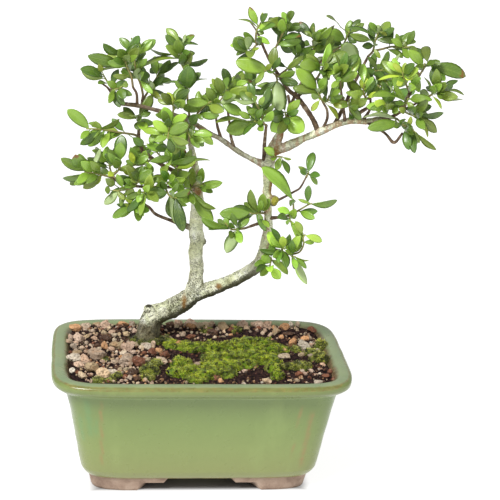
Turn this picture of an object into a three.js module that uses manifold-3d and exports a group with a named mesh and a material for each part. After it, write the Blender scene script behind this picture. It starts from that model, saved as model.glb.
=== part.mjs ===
// Firethorn bonsai in an oblong glazed pot with four bracket feet, in millimetres, +Z up.
// X runs along the pot, +Y to its back. The pot stands on z = 0. Every point below is measured
// from the middle of the pot, and the whole group is then moved so that the plant's box is centred.
import * as THREE from 'three';
import { mergeVertices } from 'three/addons/utils/BufferGeometryUtils.js';
import Module from 'manifold-3d';

const wasm = await Module();
wasm.setup();

// Pot
const POT_MIDDLE_X = -34.5;
const POT_WIDE = 205;
const POT_DEEP = 141;
const POT_TALL = 86;
const FLOOR_TOP = 18;
const RING_POINTS = 30;
// Each ring of the wall: height, inset from the rim's outline, squareness of the outline
const OUTER_RINGS = [
  [10.4, 24.2, 7.2], [12.4, 22.4, 7.2], [15.6, 20.6, 7.4], [20, 19.6, 7.5], [48, 14.8, 8], [74.4, 9.6, 8.5],
  [76, 7, 8], [78.4, 3, 7], [80.8, 0.6, 6.6], [84.4, 0.1, 6.6], [86, 2, 6.6],
];
const INNER_RINGS = [
  [86, 8.4, 7.6], [84.8, 10.2, 8], [78, 15.6, 8], [70, 17, 8], [32, 24, 7.5], [20, 28, 7], [FLOOR_TOP, 31, 7],
];
const FOOT_INSET_TOP = 25;
const FOOT_INSET_BOTTOM = 27.6;
const FOOT_SQUARENESS = 7;
const FOOT_THICK = 11;
const FOOT_TALL = 11.5;
// Steps of the gap between two feet: height, half length at the floor and at that height along
// the long side, and the same two along the short side
const FOOT_STEPS = [[10.3, 30, 20, 19, 9], [6.3, 43.5, 38, 25.5, 20]];
const DRAIN_HOLE_RADIUS = 7;
const DRAIN_HOLE_X = 42;
const DRAIN_HOLE_SIDES = 20;

// Drain screens
const SCREEN_SIDE = 24;
const SCREEN_THICK = 1.2;
const SCREEN_BARS = 2;
const SCREEN_HOLE = 8.4;

// Soil, gravel and moss
const GAP = 0.3;
const SOIL_LEVEL = 82.4;
const SOIL_MOUND = 0.6;
const SOIL_EDGE_DROP = 2;
const SOIL_RING_SCALES = [0.97, 0.8, 0.58, 0.32];
const MOSS_LIFT = 0.4;
const MOSS_THICK = 3;
const MOSS_LARGE_SIDES = 32;
const MOSS_SMALL_SIDES = 10;
const MOSS_PATCH_WAVE = 0.12;

// Wood: how much the bark's corners vary, as a part of the radius
const WOOD_UNEVENNESS = 0.12;

// Foliage
const LEAF_THICK = 0.7;
const LEAF_ARCH = 0.06;
// Leaf roots along a stem: half length of a root, distance between two, first place, and the zone
// around a root where leaves of one spray may meet
const ROOT_HALF = 0.5;
const ROOT_PITCH = 1.35;
const FIRST_ROOT = 3.5;
const ROOT_ZONE = 2.6;
// Tries for an added leaf's side of its stem, and the turn from one to the next
const TURNS = 7;
const TURN = 2.4;
const SMALL_LEAF_LONG = 13;
const ADDED_LEAF_LEAST = 11;
const ADDED_LEAF_SPREAD = 8;
const ADDED_LEAF_SLIMNESS = 0.42;
const TWIG_RADIUS = 0.85;
const TWIG_TIP_RADIUS = 0.5;
// Least distances of a leaf from leaves of other sprays, of its own spray, and from wood
const LEAF_CLEARANCE = 3.1;
const OWN_CLEARANCE = 1.9;
const WOOD_CLEARANCE = 1.7;
const SAMPLE_STEP = 2.2;
// The way a person in front of the pot looks: leaves face back along it, and slide along it to get clear
const SIGHT = new THREE.Vector3(0.105, 0.952, -0.288);
const SLIDES = [0, 3, -3, 6, -6, 9, -9, 12, -12, 16, -16];

// Half outline of a leaf, from stalk to tip: part of the length, part of the half width
const SMALL_LEAF = [[0.6, 1]];
const LARGE_LEAF = [[0.42, 0.84], [0.8, 0.9]];
const CROWN_DEPTH = 69;
// Middle and outline of the large moss patch, and middle and radius of the small one
const MOSS_MIDDLE = [22, -6];
const MOSS_OUTLINE = [
  [-38, -36], [-34, -17], [-22, 14], [-14, 26], [3, 23], [25, 38], [37, 42], [54, 32], [65, 8], [69, -20],
  [66, -38], [56, -49], [39, -51], [27, -25], [15, -41], [0, -50], [-10, -52], [-21, -46], [-27, -37],
];
const MOSS_PATCH = [79, -14, 5.5];
// Largest stones: x, y, width, height as a part of the width
const STONES = [
  [-82.9, -26.6, 6.5, 0.6], [-79, -15.5, 6.5, 0.7], [-75.5, -32.9, 8.3, 0.8], [-71.5, -5.3, 12.5, 0.75],
  [-67.9, -37.7, 7.6, 1.1], [-64.9, 32.1, 6.5, 0.6], [-61.4, -32.9, 6.9, 0.5], [-56.8, 17.1, 7.6, 0.5],
  [-52.2, -13.3, 9.2, 0.7], [-48.7, 10.7, 7.9, 0.9], [-46.8, -37.1, 7.4, 0.6], [-43.2, -17.6, 7.6, 0.8],
  [4, 52.4, 6.9, 0.75], [13.3, 39.8, 6.9, 0.8], [20.2, 50.8, 6.9, 0.7], [53.1, 53.7, 8.1, 0.7],
  [68.2, 40.9, 6.6, 0.3], [76.6, 16.6, 7.4, 0.9],
];

// Wood: for each limb its number of sides and its points, each x, y, z, radius
const LIMBS = [
  // trunk with its root flare
  [9, [[-35.5, 34.5, 60, 8], [-35.5, 34.3, 76, 9.4], [-35.2, 34, 82.2, 8.8], [-33.1, 33.2, 95.4, 8.1],
  [-29.7, 32.6, 101.1, 7.5], [-23.7, 32, 104.2, 6.8], [-13.6, 30.2, 110.2, 6.9], [-4, 28, 118, 6.7]]],
  // right limb, rising to the top
  [7, [[-4, 28, 118, 6], [9, 27, 123.5, 4.9], [22.5, 25, 130, 4.6], [33.5, 22, 137, 4.6],
  [40.5, 20, 143.5, 4.5], [44, 18, 152, 4], [45.5, 17, 160.5, 3.5], [47, 16, 172, 3.2],
  [46, 15, 185.5, 3.1], [45, 14, 197, 3], [45, 13, 209.5, 3.6], [45, 12, 222, 4.3], [47, 11, 230, 4.2],
  [50.5, 10, 239, 2.9], [53, 8, 246, 2], [55, 6, 252, 1.5], [56.5, 4, 260, 1.2], [54.5, 0, 270, 1]]],
  // left stem
  [7, [[-4, 28, 118, 6], [-2, 28, 127.5, 5.3], [-1.5, 28, 137, 5], [-2, 27.5, 148.5, 4.9],
  [-2, 27, 159.5, 5.1], [-3, 26.5, 170, 5.4], [-2, 26, 182, 4.6], [-2.5, 25, 193, 4.2],
  [-3.5, 24, 205.5, 3.2], [-5, 23, 215, 2.4], [-7.5, 21, 224.5, 2], [-10, 18, 233.5, 1.6],
  [-12.5, 14, 243, 1.2]]],
  // long limb to the left
  [5, [[44.5, 12, 217.5, 3], [30.5, 10, 224, 1.9], [19.5, 7, 231, 1.8], [11, 4, 237.5, 1.8],
  [0.5, 0, 243.5, 1.8], [-10.5, -4, 251.5, 1.6], [-23, -6, 256.5, 1.6], [-34.5, -7, 259.5, 1.5],
  [-46, -6, 262, 1.5], [-54, -4, 262.5, 1.4], [-59, -2, 263, 1.3], [-63, 0, 267.5, 1.1],
  [-67, 2, 272.5, 0.9], [-72.5, 4, 275.5, 0.6]]],
  // long limb to the right
  [5, [[46.5, 11, 228, 3.5], [55, 8, 232, 3.2], [69, 4, 240, 2.7], [85.5, -2, 249.5, 2.4],
  [94.5, -5, 253.5, 2.2], [100.5, -7, 254.5, 2.1], [107, -9, 254.5, 2], [114.5, -12, 257, 1.7],
  [121.5, -14, 258.5, 1.4], [129.5, -17, 264, 1.2], [137.5, -18, 269, 0.9], [146, -18, 274, 0.7]]],
  [4, [[129.5, -17, 264, 1.2], [134, -14, 274.5, 1.3], [138.5, -12, 283, 1]]],
  [4, [[107, -9, 254.5, 1.2], [118, -20, 249.5, 0.9], [124, -24, 244, 1.1], [129, -26, 251, 0.8]]],
  [4, [[76, 1, 245.5, 1.9], [73.5, 8, 251.5, 1.8], [67.5, 10, 260, 1.7], [62, 11, 266.5, 1.6],
  [56, 12, 271, 1.4], [51, 13, 278, 1.2], [44.5, 14, 287.5, 1.1], [39, 15, 297.5, 1],
  [35.5, 16, 305.5, 0.8], [32.5, 17, 311, 0.6], [28, 18, 316.5, 0.4]]],
  [4, [[45, 14, 287, 0.9], [45, 12.5, 292.5, 0.7]]],
  [4, [[62, 11, 266.5, 1.3], [68, 3, 275, 1.1], [73.5, -4, 283.5, 0.8]]],
  [4, [[86, -2, 249.5, 1.6], [95, 10, 262, 1.3], [103, 18, 277.5, 1.1], [111, 20, 294, 0.9]]],
  [4, [[56.5, 4, 260, 1.2], [65, 20, 273, 1.1], [79.5, 31, 287, 0.8]]],
  [4, [[94.5, -5, 253.5, 1.6], [110, 16, 257.5, 1.3], [126.5, 32, 262, 0.8]]],
  [4, [[53, 8, 246, 1.6], [41.5, 26, 252.5, 1.3], [30, 38, 259, 0.8]]],
  [4, [[41.5, 11, 222, 1.6], [40.5, 5, 234.5, 1.3], [40, -5, 250, 1]]],
  [4, [[11, 4, 237.5, 1.2], [8, 2, 246, 1], [6.5, 0, 252.5, 0.8]]],
  [4, [[20, 7, 231.5, 1.2], [17.5, 5, 239, 1], [16, 3, 248.5, 0.9], [14.5, 2, 257, 0.8]]],
  [4, [[79, 1, 246, 1.2], [81, -5, 255, 1], [80, -9, 262, 0.9], [77.5, -11, 266.5, 0.8]]],
  [4, [[93.5, -5, 253, 1.2], [91, -11, 262.5, 1], [88.5, -16, 272, 0.9], [87, -18, 279, 0.8]]],
  [4, [[105, -8, 255.5, 1.2], [108.5, -12, 263.5, 0.9], [108, -15, 271.5, 0.8]]],
  [4, [[-42.5, 8, 228, 1.3], [-45, 7, 237.5, 1.2], [-44.5, 5, 248.5, 1.1], [-43.5, 3, 260, 1.1],
  [-43, 1, 268, 0.8]]],
  [4, [[-47, -6, 262.5, 1.1], [-47.5, -6.5, 270, 0.9], [-50, -7, 274.5, 0.8]]],
  [4, [[-5.5, 26, 168.5, 2.5], [-20.5, 20, 175.5, 1.3], [-31.5, 14, 181.5, 1.1], [-36.5, 10, 187.5, 1],
  [-43, 6, 192.5, 0.8]]],
  [4, [[-3, 24, 196.5, 2.2], [-10.5, 22, 202.5, 1.7], [-18.5, 18, 210.5, 1.6], [-28, 14, 216.5, 1.5],
  [-35.5, 11, 222, 1.4], [-42.5, 8, 228, 1.3]]],
  [4, [[-3, 25, 196.5, 1.8], [-12, 16, 201, 1.2], [-26.5, 3, 204, 1.1], [-43, -8, 207, 1],
  [-56.5, -16, 211, 0.8], [-62.5, -19.5, 215.5, 0.7]]],
  [4, [[-3, 25, 192, 2.2], [-8.5, 42, 199, 1.5], [-16, 56, 206.5, 0.9]]],
  [4, [[-4, 24, 209.5, 1.6], [-7.5, 40, 214, 1.2], [-11.5, 54, 218, 0.8]]],
  [4, [[46.5, 16, 176.5, 2], [38.5, 6, 178, 1.2], [28.5, -4, 177.5, 0.8]]],
  [4, [[46.5, 15, 179.5, 1.6], [56.5, 8, 182.5, 0.8]]],
  [4, [[46, 14, 189.5, 1.6], [54.5, 12, 194.5, 0.9], [62.5, 8, 200.5, 0.8], [66.5, 6, 204, 0.7],
  [70, 4, 212, 0.6]]],
  [4, [[45.5, 17, 157, 1.8], [53, 8, 158.5, 1]]],
  // old knob on the trunk, snag on the left stem, and the cut end of a branch
  [7, [[-32.5, 32, 102, 3.6], [-34.7, 31, 107.4, 3.7], [-35, 30.8, 109, 3]]],
  [5, [[-1.5, 27, 157.5, 3.2], [4, 27, 159, 2.4]]],
  [8, [[45.5, 14, 194.5, 2.6], [49.5, 10, 194, 3.4], [50.4, 9, 193.9, 3.3]]],
];

// Sprays: name, stems as points of x, y, z, leaves, and the number of leaves added by rule.
// A leaf's row: place on the stems, tip x, y, z, blade length, width, turn from facing the front.
const SPRAYS = [
  ['spray_left_top_01', [[[-50, -7, 274.5], [-51.5, -8, 282.5], [-54.5, -9, 289], [-56.5, -10, 296.5],
  [-58, -11, 300.5]]],
    [[0.55, -80, -13, 296, 23, 8.5, 0], [0.55, -82, -6, 280, 25, 9, 75], [0.75, -60, -18, 302, 13, 7, 0],
    [0.65, -61, -5, 293, 7, 3.5, 0], [0.3, -63, -14, 283, 13, 4.5, -35]], 2],
  ['spray_left_top_02', [[[-43, 1, 268], [-44.5, -1, 274.5], [-47.5, -2, 282.5], [-49, -2, 290.5],
  [-49, -3, 298.5]]],
    [[0.95, -52, -3, 307, 8, 2, 25], [0.6, -55, 4, 287, 10, 4.5, 0], [0.3, -40, 5, 283, 12, 7.5, 0],
    [0.3, -48, -13, 289, 18, 6.5, 205], [0.3, -37, -9, 271, 12, 4.5, 0], [0.8, -46, 1, 298, 8, 2, 40]], 2],
  ['spray_left_top_03', [[[-63, 0, 267.5], [-64.5, -5, 273.5], [-67, -8, 278], [-70, -9, 283.5]],
  [[-64.5, -5, 273.5], [-60.5, -11, 274], [-57.5, -14, 276.5]]],
    [[0.8, -72, -10, 289, 10, 4, 0], [1.75, -67, -17, 280, 11, 5, 0], [1.95, -56, -20, 269, 10, 7.5, 0],
    [1.95, -53, -10, 277, 6, 4, 0], [1.6, -65, -9, 271, 5, 2.5, 0]], 1],
  ['spray_left_top_04', [[[-42.5, 2, 265], [-39.5, 8, 268.5], [-36.5, 12, 273], [-33, 15, 278],
  [-31, 17, 283.5]]],
    [[0.3, -38, -6, 279, 19, 6.5, 155], [0.3, -32, -4, 267, 12, 4.5, 0], [0.85, -38, 20, 282, 11, 5.5, 0],
    [0.3, -24, 11, 260, 18, 6.5, -60], [0.95, -37, 21, 288, 8, 2.5, 0]], 2],
  ['spray_left_top_05', [[[-11.5, -4, 252], [-13.5, -5, 266.5], [-13.5, -3, 272.5], [-14.5, 0, 282],
  [-18.5, 0, 291], [-18.5, -1, 299], [-18, -2, 304.5]]],
    [[0.4, -14, -12, 290, 19, 12.5, 0], [0.8, -46, -3, 288, 26, 9.5, 65], [0.8, -39, 5, 298, 17, 6, -70],
    [0.75, -27, 6, 283, 14, 5, 40], [0.75, -21, -6, 307, 15, 8, 0], [0.95, -16, -2, 310, 6, 2.5, 180],
    [0.95, -7, 2, 302, 11, 4, -45], [0.8, -9, 5, 296, 10, 4, 0], [0.7, 0, 6, 292, 16, 6, 55],
    [0.45, 0, 4, 279, 14, 5, -65], [0.4, -30, 2, 277, 17, 6, 65]], 2],
  ['spray_left_top_06', [[[-23, -6, 256.5], [-25, -16, 253.5], [-26.5, -25, 249.5], [-27.5, -31, 245.5]],
  [[-24.5, -12, 254.5], [-23.5, -17, 262], [-24, -19, 268.5]]],
    [[0.5, -30, -23, 265, 13, 8, 0], [0.95, -37, -30, 257, 14, 7, 0], [0.95, -15, -34, 256, 16, 9, 0],
    [0.95, -44, -25, 251, 16, 6, 25], [0.95, -36, -31, 244, 9, 5, 0], [0.95, -24, -25, 235, 12, 5.5, 0],
    [1.85, -28, -20, 274, 9, 5, 0], [1.85, -20, -20, 272, 7, 3.5, 0], [1.8, -34, -15, 268, 10, 4, 0]], 2],
  ['spray_left_top_07', [[[-10.5, -4, 251.5], [-13.5, -14, 248.5], [-12, -20, 244]], [[-11.5, -8, 250.5],
  [-7.5, -13, 258.5], [-3, -15, 264.5], [1.5, -16, 268]]],
    [[0.35, 4, -13, 238, 16, 6, 0], [0.9, -6, -23, 238, 15, 5, 30], [0.95, -10, -18, 252, 8, 4.5, 0],
    [0.95, -3, -26, 243, 10, 5.5, 0], [1.95, -15, -19, 268, 17, 6.5, 0], [1.55, -17, -11, 263, 13, 6, 0],
    [1.45, -4, -18, 256, 6, 4, 0], [1.8, 2, -13, 260, 6, 4.5, 0], [1.95, -7, -13, 273, 8, 2, -40]], 1],
  ['spray_left_top_08', [[[6.5, 0, 252.5], [5.5, -3, 259.5], [6.5, -4, 263.5], [9.5, -5, 268],
  [12.5, -5, 273.5]]],
    [[0.45, 18, -10, 271, 15, 5.5, 180], [0.6, 23, -9, 258, 16, 7.5, 0], [0.3, 1, -1, 255, 5, 2.5, 0],
    [0.95, 1, -2, 272, 12, 4, 35], [0.85, 3, 0, 279, 9, 4, 0]], 1],
  ['spray_left_top_09', [[[14.5, 2, 257], [14, 6, 262], [15, 11, 267], [17, 13, 271.5], [20.5, 14, 276]]],
    [[0.7, 11, 16, 274, 7, 2.5, 0], [0.8, 24, 17, 277, 9, 5, 0], [0.85, 27, 7, 277, 10, 4.5, 0],
    [0.35, 24, 15, 265, 11, 4, 0]], 2],
  ['spray_left_top_10', [[[-45, 7, 237.5], [-48.5, 2, 240.5], [-57.5, -6, 243.5], [-66, -11, 246],
  [-73.5, -14, 247.5], [-80.5, -16, 248]]],
    [[0.3, -42, -1, 234, 9, 6, 0], [0.8, -59, -18, 256, 17, 6, 55], [0.75, -80, -15, 242, 11, 5.5, 0],
    [0.7, -79, -10, 235, 16, 5.5, -20], [0.45, -71, -12, 248, 15, 5.5, 40],
    [0.95, -93, -17, 261, 19, 8, 0]], 0],
  ['spray_left_top_11', [[[-44.5, 5, 248.5], [-46.5, -2, 251.5], [-45.5, -5, 255]]],
    [[0.95, -60, -7, 256, 15, 5.5, 0], [0.35, -46, -3, 245, 7, 5.5, 0], [0.95, -38, -7, 258, 9, 4, 0]], 1],
  ['spray_right_top_01', [[[30, 38, 259], [26, 40, 260.5], [22, 42, 262], [18, 40, 266.5],
  [14.5, 38, 270]], [[26.5, 39.5, 260], [33.5, 46, 264.5], [39, 49, 269]]],
    [[1.95, 19, 47, 271, 17, 6, 20], [0.8, 12, 36, 272, 7, 3, 0], [0.65, 11, 44, 260, 9, 4, 0]], 3],
  ['spray_right_top_02', [[[40, -5, 250], [35, -12, 253.5], [30.5, -16, 255]], [[38, -8, 251.5],
  [35, -15, 260.5], [31.5, -19, 266.5], [29.5, -20, 272]]],
    [[0.95, 12, -19, 249, 18, 11.5, 0], [0.4, 29, -7, 256, 8, 6, 0], [0.95, 20, -20, 262, 10, 4.5, 0],
    [0.95, 6, -12, 252, 24, 8.5, 70], [1.35, 29, -17, 267, 13, 6.5, 0], [1.7, 36, -21, 273, 8, 4, 0],
    [1.95, 26, -18, 281, 10, 6, 0], [1.9, 16, -24, 272, 16, 5.5, 225],
    [1.95, 23, -25, 276, 9, 3.5, 0]], 1],
  ['spray_right_top_03', [[[49.5, 13, 280.5], [46.5, 7, 282], [42, 3, 285.5], [37.5, 1, 286]],
  [[46.5, 7, 282], [47, 4, 280], [46.5, 1, 278]]],
    [[0.8, 18, -2, 293, 23, 10.5, 0], [0.95, 32, -2, 278, 10, 4, 0], [1.6, 49, -2, 259, 21, 11.5, 180],
    [1.6, 36, 6, 270, 14, 5, 25], [0.9, 42, -2, 291, 8, 4, 0]], 0],
  ['spray_right_top_04', [[[37.5, 15.5, 301.5], [33, 11, 301.5], [29.5, 8, 298.5], [25.5, 6, 296.5]],
  [[33, 11, 301.5], [32, 9, 307], [32.5, 8, 312.5], [35.5, 8, 318]]],
    [[0.85, 17, 5, 307, 13, 10.5, 0], [0.95, 27, 0, 309, 13, 6.5, 180], [0.8, 34, 2, 301, 8, 2.5, 0],
    [1.65, 41, 5, 317, 10, 5.5, 0], [1.55, 37, 4, 311, 6, 3.5, 0], [1.4, 41, 4, 304, 10, 4, 0],
    [1.7, 20, 10, 319, 14, 5, 65], [1.95, 36, 8, 324, 6, 2, -25]], 0],
  ['spray_right_top_05', [[[45, 12.5, 292.5], [45.5, 11, 298.5], [48.5, 9, 306.5], [52, 8, 314],
  [54.5, 7, 319.5]]],
    [[0.3, 53, 15, 317, 18, 6.5, 0], [0.75, 61, 6, 318, 12, 4, 0], [0.8, 66, 12, 314, 14, 5, 65],
    [0.65, 62, 14, 312, 12, 4.5, -20], [0.3, 62, 6, 306, 16, 6, 0], [0.3, 57, 9, 299, 13, 5, 45]], 1],
  ['spray_right_top_06', [[[49, 13, 280.5], [54.5, 18, 283.5], [60.5, 22, 288.5], [64.5, 24, 293.5],
  [68.5, 25, 297.5]]],
    [[0.3, 65, 12, 294, 15, 5.5, 30], [0.8, 73, 21, 299, 11, 4, -50], [0.3, 45, 23, 289, 11, 4, 0],
    [0.4, 59, 24, 277, 10, 5, 0], [0.95, 65, 29, 303, 8, 4, 0]], 2],
  ['spray_right_top_07', [[[77.5, -11, 266.5], [75, -14, 270.5], [72.5, -15, 275.5]], [[76, -12.5, 268.5],
  [79, -15, 269.5], [79.5, -17, 273.5]]],
    [[0.75, 57, -18, 291, 24, 9.5, 0], [0.65, 56, -10, 277, 16, 6.5, 0], [0.95, 66, -10, 285, 12, 5.5, 0],
    [0.3, 69, -17, 276, 13, 5, 45], [0.55, 78, -16, 284, 12, 4.5, 0], [1.5, 85, -18, 278, 10, 3.5, -20],
    [1.45, 91, -17, 273, 12, 4.5, 20], [0.3, 89, -14, 264, 8, 4, 0], [0.3, 69, -13, 262, 9, 4, 0],
    [0.3, 88, -9, 256, 12, 4.5, -40], [1.45, 86, -21, 270, 8, 4, 0]], 1],
  ['spray_right_top_08', [[[73.5, -4, 283.5], [75, -10, 289.5], [76.5, -13, 294]]],
    [[0.95, 60, -16, 292, 17, 9.5, 0], [0.95, 60, -10, 294, 17, 6, 50], [0.75, 80, -14, 284, 9, 4.5, 0],
    [0.95, 82, -11, 301, 9, 2.5, 0]], 2],
  ['spray_right_top_09', [[[73.5, 26.5, 281.5], [73.5, 25, 289.5], [74, 25, 295], [73, 23, 301.5],
  [73, 21, 309], [72, 20, 313]]],
    [[0.45, 78, 21, 306, 11, 8, 0], [0.55, 66, 21, 304, 9, 5.5, 0], [0.8, 88, 25, 313, 16, 6, 55],
    [0.75, 67, 25, 309, 7, 3.5, 0], [0.4, 85, 29, 297, 11, 5.5, 0]], 2],
  ['spray_right_top_10', [[[79.5, 31, 287], [87.5, 35, 293], [95.5, 38, 298], [97.5, 31, 305],
  [98, 27, 309.5]], [[87.5, 35, 293], [94, 42, 286], [100.5, 48, 281]]],
    [[0.75, 82, 29, 309, 17, 9.5, 0], [0.95, 81, 27, 317, 18, 6.5, 70], [0.55, 87, 41, 301, 11, 7, 0],
    [0.85, 103, 26, 302, 8, 5.5, 0]], 3],
  ['spray_right_top_11', [[[111, 20, 294], [113.5, 17.5, 298], [114, 14, 305], [115, 13, 309],
  [116, 12, 313.5]], [[113.5, 17.5, 298], [119.5, 17, 299.5], [126, 16, 301.5], [130.5, 12, 302],
  [137, 8, 303]]],
    [[0.7, 95, 17, 313, 20, 7, 65], [0.6, 96, 12, 309, 17, 6, -30], [0.8, 115, 10, 318, 9, 5.5, 180],
    [0.6, 128, 10, 306, 13, 5, 0], [0.45, 105, 12, 302, 9, 5, 0], [0.95, 121, 10, 310, 5, 2.5, 0],
    [0.35, 118, 13, 294, 8, 3.5, 0], [1.85, 124, 7, 308, 16, 6, 20], [1.8, 128, 13, 311, 9, 3.5, 0],
    [1.95, 132, 11, 306, 9, 3.5, 0], [1.95, 134, 12, 300, 7, 4, 0], [1.9, 143, 11, 300, 9, 3.5, 0]], 2],
  ['spray_right_top_12', [[[105, 18.5, 281.5], [106, 13, 283.5], [110.5, 10, 285], [114.5, 8, 286],
  [118.5, 6, 287]], [[106, 13, 283.5], [103, 7, 284], [100.5, 1, 285]]],
    [[1.95, 90, -4, 307, 24, 13, 180], [0.8, 105, 4, 285, 10, 7, 0], [0.95, 108, 4, 296, 14, 5, 35],
    [0.95, 131, 6, 292, 13, 4.5, -40], [0.95, 130, 10, 297, 14, 5, 120]], 1],
  ['spray_right_top_13', [[[87, -18, 279], [86, -20, 285], [86, -21, 290.5]]],
    [[0.3, 83, -22, 297, 18, 8, 0], [0.3, 97, -21, 290, 13, 6, 0], [0.9, 81, -15, 301, 15, 5, 60],
    [0.95, 90, -13, 300, 13, 5.5, 0], [0.3, 80, -22, 280, 8, 4.5, 0]], 1],
  ['spray_right_top_14', [[[108, -15, 271.5], [104.5, -18, 272.5], [102, -20, 277], [102, -21, 282.5]]],
    [[0.65, 103, -23, 288, 11, 7.5, 0], [0.4, 90, -22, 277, 12, 4.5, 0], [0.6, 94, -17, 282, 10, 5.5, 0],
    [0.35, 113, -16, 280, 11, 6, 0], [0.3, 111, -22, 277, 9, 3.5, 0]], 0],
  ['spray_right_top_15', [[[131, -17.5, 266.5], [131, -22, 270.5], [131.5, -25, 274.5]],
  [[131, -20, 268.5], [126, -21, 267.5], [120.5, -21, 266], [116.5, -23, 270]]],
    [[0.95, 106, -29, 276, 25, 9, 60], [0.95, 147, -28, 275, 15, 5.5, -30], [0.9, 135, -27, 268, 8, 4, 0],
    [1.7, 109, -24, 271, 11, 6.5, 0], [1.65, 126, -25, 272, 10, 6, 0], [1.9, 122, -18, 275, 9, 6, 180],
    [1.65, 125, -26, 265, 6, 5.5, 0]], 1],
  ['spray_right_top_16', [[[138.5, -12, 283], [141.5, -12, 289], [146, -11, 295.5], [147.5, -13, 295],
  [149, -14, 294.5]], [[142.5, -12, 290.5], [142.5, -15, 294.5], [143, -16, 296.5]], [[141, -12, 287.5],
  [135.5, -17, 293.5], [133, -18, 295.5]]],
    [[1.65, 131, -18, 305, 16, 7.5, 0], [2.9, 139, -22, 278, 18, 6.5, 20], [2.95, 129, -16, 292, 6, 4, 0],
    [0.9, 171, -16, 288, 24, 10, 0]], 0],
  ['spray_right_top_17', [[[145, -18, 273], [148.5, -20, 276.5], [152, -21, 279.5], [154, -22, 278]]],
    [[0.75, 159, -23, 285, 10, 6.5, 0], [0.8, 155, -24, 274, 7, 4, 0], [0.75, 144, -19, 281, 8, 4, 0],
    [0.6, 143, -18, 288, 11, 4, 50], [0.95, 169, -18, 276, 15, 5.5, -70], [0.95, 170, -22, 274, 17, 6, 65],
    [0.3, 140, -22, 279, 8, 5.5, 180], [0.3, 155, -22, 267, 10, 4, -45]], 0],
  ['spray_right_top_18', [[[134.5, -14, 276], [131, -20, 281.5], [128, -24, 287.5], [126, -26, 292]]],
    [[0.95, 119, -28, 298, 10, 4, 0], [0.9, 128, -27, 299, 9, 3.5, 0], [0.75, 123, -26, 283, 6, 4.5, 0],
    [0.8, 133, -27, 288, 6, 3.5, 0], [0.85, 111, -23, 286, 16, 6, 60]], 1],
  ['spray_right_top_19', [[[126.5, 32, 262], [131.5, 36, 264], [135.5, 41, 269], [134.5, 43, 274]],
  [[131, 35.5, 264], [127, 43, 265.5], [123, 47, 269.5]]],
    [[0.7, 127, 38, 267, 9, 7, 180], [0.95, 128, 41, 278, 8, 5, 0], [0.85, 142, 39, 272, 8, 5, 0]], 3],
  ['spray_right_top_20', [[[121.5, -14, 258.5], [125.5, -21, 259.5], [129, -25, 256.5],
  [133.5, -27, 254.5], [137.5, -29, 252]]],
    [[0.5, 105, -27, 254, 22, 8, 0], [0.35, 102, -26, 261, 25, 9, 110], [0.6, 137, -29, 251, 9, 4.5, 0],
    [0.8, 141, -25, 244, 13, 4.5, -45], [0.95, 152, -29, 241, 17, 6, 55],
    [0.75, 133, -30, 263, 8, 3.5, 0]], 0],
  ['spray_right_top_21', [[[130, -17, 264.5], [133.5, -22, 263], [136.5, -24, 262.5], [140, -25, 262.5]]],
    [[0.95, 156, -25, 265, 16, 5.5, 45], [0.75, 149, -24, 256, 13, 5, 0],
    [0.95, 145, -27, 248, 14, 5, -50], [0.45, 125, -27, 267, 10, 4.5, 0],
    [0.7, 139, -27, 271, 10, 4, 0]], 1],
  ['spray_right_top_22', [[[98, -6, 254], [95, -14, 262], [93, -18, 269], [93.5, -19, 272]]],
    [[0.95, 101, -23, 259, 15, 5.5, 0], [0.95, 88, -22, 266, 8, 4.5, 0],
    [0.8, 86, -15, 268, 8, 4.5, 0]], 0],
  ['spray_right_top_23', [[[55.5, 6, 253], [53.5, 0, 256], [52.5, -3, 259]]],
    [[0.35, 44, -1, 245, 13, 10, 0], [0.3, 66, 0, 245, 15, 12.5, 0], [0.95, 61, -5, 266, 11, 6, 0],
    [0.95, 44, 0, 257, 9, 5.5, 0]], 0],
  ['spray_right_top_24', [[[46, 12, 223.5], [49.5, 5, 226], [53, 2, 226.5]]],
    [[0.95, 49, 0, 218, 9, 5, 0], [0.95, 59, 2, 225, 6, 2, 20]], 0],
  ['spray_middle_01', [[[28.5, -4, 177.5], [22, -9, 178], [18, -11, 179], [14, -12, 183.5]]],
    [[0.65, 3, -7, 178, 16, 5.5, 45], [0.7, -2, -14, 187, 21, 7.5, -45], [0.7, 13, -15, 188, 10, 4, 0],
    [0.45, 31, -6, 185, 11, 4, 0], [0.3, 16, -8, 161, 20, 9, 180]], 0],
  ['spray_middle_02', [[[44.5, 15, 183], [39.5, 6, 185.5], [35, 1, 186.5], [31.5, -2, 188]]],
    [[0.95, 11, -5, 188, 21, 9.5, 0], [0.3, 32, 7, 190, 13, 5.5, 0], [0.75, 24, 5, 177, 15, 5, 25],
    [0.7, 44, 5, 173, 14, 5, 0], [0.6, 45, -3, 177, 13, 4.5, -30]], 0],
  ['spray_middle_03', [[[56.5, 8, 182.5], [59.5, 5, 184.5], [62.5, 2, 187], [68.5, -4, 193],
  [71.5, -6, 195.5], [73.5, -7, 196.5]], [[62.5, 2, 187], [61.5, -2, 193], [61, -3, 198.5]],
  [[59.5, 5, 184.5], [60, 1, 182.5], [60.5, -1, 181]]],
    [[1.95, 37, -8, 221, 33, 12, 45], [2.55, 67, 0, 168, 16, 5.5, -30], [0.3, 51, 2, 190, 10, 5.5, 0],
    [0.95, 91, -7, 198, 18, 6.5, 40], [0.95, 64, -6, 199, 9, 2.5, 0]], 0],
  ['spray_middle_04', [[[70, 4, 212], [71, 3, 214.5], [71.5, 2, 216]]],
    [[0.95, 64, 2, 220, 8, 3, 0], [0.3, 78, 4, 207, 9, 3.5, 0]], 0],
  ['spray_middle_05', [[[53, 8, 158.5], [56.5, 4, 158.5], [60.5, 0, 158], [66.5, -5, 161], [69, -8, 167.5],
  [68, -11, 173], [69, -12, 176]], [[56, 4.5, 158.5], [55, -1, 162], [56, -5, 164]], [[61, -0.5, 158.5],
  [61.5, -6, 158.5], [63.5, -9, 159]]],
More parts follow.
